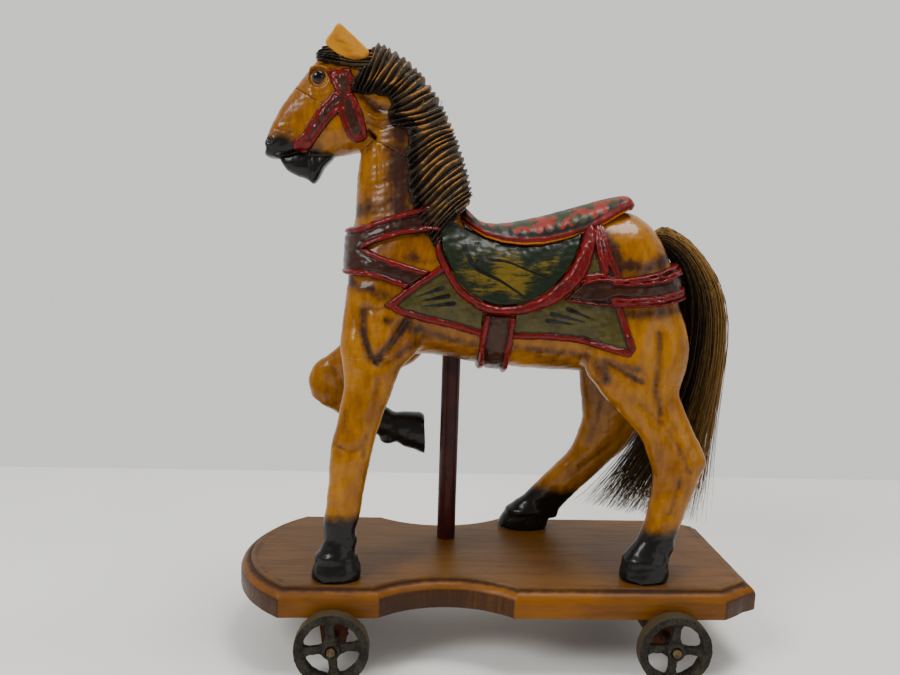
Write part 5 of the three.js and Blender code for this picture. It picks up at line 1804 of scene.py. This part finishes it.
@dataclass
class Platform:
    """The board: one plank with a rounded nose, hollow waists and a moulded edge."""

    half_width: float = 66.0
    front: float = -165.5
    rear: float = 164.5
    bottom: float = 37.1
    top: float = 54.6
    nose_radius: float = 83.1
    side_front: float = -135.6
    waist: tuple[float, float, float] = (-73.0, 10.0, 15.0)
    corner: tuple[float, float] = (24.0, 14.5)
    moulding: Line = (
        (0.6, 0), (0, 0.6), (0, 6), (0, 10.6), (0.25, 11.4), (0.8, 12.6), (1.9, 14.0), (3.6, 15.2),
        (5.2, 15.7), (6.2, 15.75), (6.5, 16.1), (6.7, 17.0), (7.3, 17.5),
    )
    spacing: float = 1.6

    def outline(self) -> Array:
        """Plan outline as evenly spaced x and y places, anticlockwise from above."""
        middle = self.front + self.nose_radius
        limit = math.asin((middle - self.side_front) / self.nose_radius)
        side = []
        for angle in np.linspace(-math.pi / 2, -limit, 14):
            side.append((self.nose_radius * math.cos(angle), middle + self.nose_radius * math.sin(angle)))
        start, end, depth = self.waist
        chord = (end - start) / 2
        radius = (chord**2 + depth**2) / (2 * depth)
        half = math.asin(chord / radius)
        side.append((self.half_width, self.side_front + 2.5))
        for angle in np.linspace(-half, half, 18):
            side.append((self.half_width - depth + radius - radius * math.cos(angle),
                         (start + end) / 2 + radius * math.sin(angle)))
        run, cut = self.corner
        side += [(self.half_width, self.rear - run), (self.half_width - cut, self.rear)]
        corners = np.array(side + [(-x, y) for x, y in side[:0:-1]] + [side[0]])
        places = [corners[0]]
        for start_point, end_point in zip(corners[:-1], corners[1:]):
            pieces = max(1, round(np.linalg.norm(end_point - start_point) / self.spacing))
            places += [start_point + (end_point - start_point) * k / pieces for k in range(1, pieces + 1)]
        return np.array(places[:-1])

    def turning(self, outline: Array) -> Array:
        """How far the outline turns at each place.

        Args:
            outline: places along it.

        Returns:
            The turn, in radians.
        """
        before = outline - np.roll(outline, 1, 0)
        after = np.roll(outline, -1, 0) - outline
        cross = before[:, 0] * after[:, 1] - before[:, 1] * after[:, 0]
        return np.arctan2(cross, (before * after).sum(1))

    def inset(self, outline: Array, distance: float) -> Array:
        """The outline moved inwards, with its corners kept sharp and unfolded.

        Args:
            outline: places along it, with one on every corner.
            distance: how far in, in mm.

        Returns:
            As many places, in the same order.
        """
        before = outline - np.roll(outline, 1, 0)
        after = np.roll(outline, -1, 0) - outline
        before = before / np.linalg.norm(before, axis=1, keepdims=True)
        after = after / np.linalg.norm(after, axis=1, keepdims=True)
        normals = [np.stack([-edge[:, 1], edge[:, 0]], 1) for edge in (before, after)]
        mitre = normals[0] + normals[1]
        mitre /= np.linalg.norm(mitre, axis=1, keepdims=True)
        moved = outline + mitre * distance / (mitre * normals[0]).sum(1, keepdims=True)
        turns = self.turning(outline)
        count = len(outline)
        for corner in np.flatnonzero(turns > 0.25):
            eaten = distance * math.tan(turns[corner] / 2)
            for way, edges in ((1, after), (-1, before)):
                along, index = 0.0, corner
                while True:
                    step = (index + way) % count
                    along += float(np.linalg.norm(outline[step] - outline[index]))
                    index = step
                    needed = eaten + 0.06 * along
                    if along >= needed or along > 12:
                        break
                    moved[index] += edges[corner] * way * (needed - along)
        return moved

    def make(self) -> None:
        """Builds the board, hand-cut at its edges, with its wear and the painted shadows round the hooves and
        the pole marked.
        """
        outline = self.outline()
        count = len(outline)
        start, end, _ = self.waist
        rings, marks = [], []
        nose = (outline[:, 1] < self.side_front + 3).astype(float)
        waist = ((outline[:, 1] > start) & (outline[:, 1] < end)).astype(float)
        rear = (outline[:, 1] > self.rear - self.corner[0] - 1).astype(float)
        cross = np.maximum.reduce([nose, waist, rear])
        rough = waves(outline[:, 0], outline[:, 1], 21.0, 2)
        worn = bell(np.hypot(outline[:, 0] - 58, outline[:, 1] - 157), 6.0)
        for inset, height in self.moulding:
            ripple = 0.28 * rough + 0.14 * waves(outline[:, 0] + height * 2, outline[:, 1], 7.0, 6)
            ring = self.inset(outline, inset)
            pull = (ripple * 0.5 + 0.5 + worn * 2.2 * (1 - height / 17.5))[:, None]
            ring = ring * (1 - 0.0035 * pull)
            rings.append(np.column_stack([ring, np.full(count, self.bottom + height)]))
            step = max(bell(height - 15.8, 0.9), 0.4 * bell(height, 1.2))
            marks.append((step, cross * (height < 12), float(height < 15.6)))
        for shrink in (0.985, 0.95, 0.85, 0.7, 0.5, 0.25, 0.02):
            inner = rings[len(self.moulding) - 1][:, :2] * shrink
            rings.append(np.column_stack([inner, np.full(count, self.top)]))
            marks.append((0.55 if shrink > 0.98 else 0.25 if shrink > 0.94 else 0.0, np.zeros(count), 0.0))
        for shrink in (0.9, 0.02):
            inner = rings[0][:, :2] * shrink
            rings.insert(0, np.column_stack([inner, np.full(count, self.bottom)]))
            marks.insert(0, (0.1, np.zeros(count), 0.0))
        points = np.vstack([*rings, [[0, 0, self.bottom]], [[0, 0, self.top]]])
        form = Form(points, ring_faces(len(rings), count))
        columns = [np.concatenate([*(np.broadcast_to(mark[i], count) for mark in marks), [0.0, 0.0]])
                   for i in range(3)]
        x, y, _ = points.T
        # Painted shadows: darker patches on the deck round the three standing hooves and the foot of the
        # pole, added to the mark step.
        darken = np.zeros(len(x))
        for px, py in ((46, -99), (45, 94), (-44.5, 29), (-22, -28.5)):
            darken = np.maximum(darken, 0.55 * bell(np.hypot(x - px, y - py), 15))
        form.marks["step"] = np.maximum(columns[0], darken)
        form.marks["endgrain"], form.marks["side"] = columns[1], columns[2]
        made = dress(form.build("platform_board_moulded"), Finish.BOARD, nodes=["platform_board"])
        bevel = made.modifiers.new("crisp", "EDGE_SPLIT")
        bevel.split_angle = math.radians(38)


@dataclass
class RunningGear:
    """Cast wheels on plain axles, and the blocks, nails and screws that hold them."""

    radius: float = 22.3
    rim_inner: float = 16.9
    rim_half: float = 4.0
    spoke_half_width: float = 2.7
    spoke_half: float = 1.9
    hub_radius: float = 5.6
    hub_half: float = 5.0
    bore: float = 3.1
    middle_x: float = 73.2
    axle_y: tuple[tuple[str, float, float], ...] = (("front", -99.4, 0.1), ("rear", 106.4, -0.06))
    step: float = 0.36

    def casting(self) -> Form:
        """One wheel about X at the origin, with its spokes level and upright."""
        r = self.radius + 1
        block = Block((-6.2, -r, -r), (6.2, r, r), self.step)
        away = np.hypot(block.y, block.z)
        middle = (self.radius + self.rim_inner) / 2
        half = (self.radius - self.rim_inner) / 2
        rim = soft_max(np.abs(away - middle) - half, np.abs(block.x) - self.rim_half, 1.5)
        lip = np.maximum(np.abs(away - self.radius + 1.2) - 1.3, np.abs(block.x) - self.rim_half)
        hub = soft_max(away - self.hub_radius, np.abs(block.x) - self.hub_half, 1.2)
        arm = np.minimum(np.abs(block.y), np.abs(block.z))
        flare = 0.9 * eased(12.0, 17.0, away) + 0.8 * eased(9.0, 5.5, away)
        spokes = soft_max(arm - self.spoke_half_width - flare, np.abs(block.x) - self.spoke_half, 1.2)
        spokes = np.maximum(spokes, away - middle)
        wheel = soft_min(soft_min(rim, hub, 1.0), spokes, 2.2)
        wheel = np.maximum(np.minimum(wheel, lip), self.bore - away)
        wheel = wheel + 0.17 + 0.12 * waves(block.y, block.z, 6.0, 14)
        wheel = wheel + 0.08 * waves(block.x * 3 + block.y, block.z, 3.0, 15)
        form = block.skin(wheel)
        far = np.hypot(form.points[:, 1], form.points[:, 2])
        form.marks["worn"] = np.maximum(eased(self.radius - 0.9, self.radius, far), 0.4 * eased(
            3.2, 4.2, np.abs(form.points[:, 0])))
        return form

    def make(self) -> None:
        """Builds the wheels and paints the axles, blocks, nails and screws."""
        casting = self.casting()
        for end, y, turn in self.axle_y:
            cos, sin = math.cos(turn), math.sin(turn)
            for side, sign in (("left", 1), ("right", -1)):
                points = casting.points.copy()
                points[:, 1] = casting.points[:, 1] * cos - casting.points[:, 2] * sin + y
                points[:, 2] = casting.points[:, 1] * sin + casting.points[:, 2] * cos + self.radius
                points[:, 0] += sign * self.middle_x
                wheel = Form(points, casting.faces, dict(casting.marks)).build(f"{end}_{side}_cast_wheel")
                dress(wheel, Finish.WHEEL, f"wheel_{end}_{side}", [f"{end}_{side}_wheel"])
            self.iron(f"{end}_axle", 0.5)
            self.wood(f"{end}_axle_block")
            for number in (1, 2):
                self.iron(f"{end}_block_nail_{number}", 0.25)
        for number in range(1, 5):
            self.iron(f"hold_down_screw_{number}", 0.3)
        repaint("pole", Finish.POLE)
        self.rounded("pole", 0.4, 3)

    def rounded(self, node: str, width: float, segments: int = 2) -> None:
        """Rounds a node's sharp edges a little.

        Args:
            node: its name.
            width: how far, in mm.
            segments: how many steps the rounding has.
        """
        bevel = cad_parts[node].modifiers.new("eased edges", "BEVEL")
        bevel.width, bevel.segments, bevel.limit_method = width * MM, segments, "ANGLE"
        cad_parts[node].data.shade_smooth()

    def iron(self, node: str, width: float) -> None:
        """Dresses a steel node."""
        repaint(node, Finish.STEEL)
        self.rounded(node, width)

    def wood(self, node: str) -> None:
        """Dresses a block of stained wood."""
        repaint(node, Finish.BLOCK)
        self.rounded(node, 0.7, 3)


# ---- studio


@dataclass
class Studio:
    """Pale floor, soft lamps and the camera."""

    eye: tuple[float, float, float] = (0.52035, -0.0599, 0.2671)
    yaw: float = math.radians(-3.16)
    pitch: float = math.radians(7.40)
    roll: float = math.radians(1.82)
    lens: float = 32.0
    table: tuple[float, float, float] = (-0.35, 1.5, 1.6)
    wall: float = 0.95
    room: float = 0.3

    def camera(self) -> None:
        """Stands the camera at the horse's left side, a little above its back."""
        data = bpy.data.cameras.new("camera")
        data.lens, data.sensor_width, data.clip_end = self.lens, 36.0, 50.0
        camera = bpy.data.objects.new("camera", data)
        forward = Vector((-math.cos(self.yaw), -math.sin(self.yaw), 0))
        right, up = Vector((-math.sin(self.yaw), math.cos(self.yaw), 0)), Vector((0, 0, 1))
        look = forward * math.cos(self.pitch) - up * math.sin(self.pitch)
        top = up * math.cos(self.pitch) + forward * math.sin(self.pitch)
        across = right * math.cos(self.roll) + top * math.sin(self.roll)
        top = top * math.cos(self.roll) - right * math.sin(self.roll)
        matrix = Matrix((across, top, -look)).transposed().to_4x4()
        matrix.translation = Vector(self.eye)
        camera.matrix_world = matrix
        bpy.context.scene.collection.objects.link(camera)
        bpy.context.scene.camera = camera

    def lamp(self, name: str, place: Row, power: float, size: float, tint: Row = (1, 1, 1)) -> None:
        """One soft square lamp that looks at the horse.

        Args:
            name: its name.
            place: where it hangs, in metres.
            power: in watts.
            size: its side, in metres.
            tint: its colour.
        """
        data = bpy.data.lights.new(name, "AREA")
        data.energy, data.size, data.color = power, size, tint
        lamp = bpy.data.objects.new(name, data)
        lamp.location = place
        lamp.rotation_euler = (Vector((0, 0, 0.2)) - Vector(place)).to_track_quat("-Z", "Y").to_euler()
        bpy.context.scene.collection.objects.link(lamp)

    def ground(self) -> None:
        """A pale matt table top."""
        mesh = bpy.data.meshes.new("floor")
        back, side, front = self.table
        corners = [(back, -side, 0), (front, -side, 0), (front, side, 0), (back, side, 0)]
        mesh.from_pydata(corners, [], [(0, 1, 2, 3)])
        floor = bpy.data.objects.new("floor", mesh)
        bpy.context.scene.collection.objects.link(floor)
        s = Shader("floor_paper")
        cloud = s.noise(3.0, 2)
        colour = s.blend(cloud.step(0.3, 0.7), paint(240, 239, 235), paint(234, 233, 228))
        mesh.materials.append(s.finish(colour, 0.55, gloss=0.5))

    def surroundings(self) -> None:
        """Light from all round: a pale wall behind the horse and a dimmer room before it."""
        world = bpy.data.worlds.new("studio")
        world.use_nodes = True
        s = Nodes(world.node_tree)
        towards_room = s.node("SeparateXYZ", {}, {0: s.node("TexCoord", {}, {}, "Generated")})
        light = s.node("MapRange", {}, {0: towards_room, 1: 0.5, 2: -0.7, 3: self.room, 4: self.wall})
        s.node("OutputWorld", {}, {0: s.node("Background", {}, {0: (0.97, 0.97, 0.95, 1), 1: light})})
        bpy.context.scene.world = world

    def make(self) -> None:
        """Sets up the whole studio."""
        self.camera()
        self.ground()
        self.surroundings()
        self.lamp("window", (0.9, -1.1, 1.3), 20, 0.7, (0.98, 0.99, 1.0))
        self.lamp("ceiling", (0.1, 0.3, 1.7), 19, 0.6, (1.0, 0.98, 0.95))
        self.lamp("fill", (1.2, 1.1, 0.6), 4, 1.0)


def main() -> None:
    """Builds every sub-assembly in order."""
    logging.basicConfig(level=logging.INFO, format="%(name)s %(message)s")
    Studio().make()
    Platform().make()
    RunningGear().make()
    horse = CarvedHorse()
    horse.make()
    Harness(horse).make()
    Hair(horse).make()


if __name__ == "__main__":
    main()
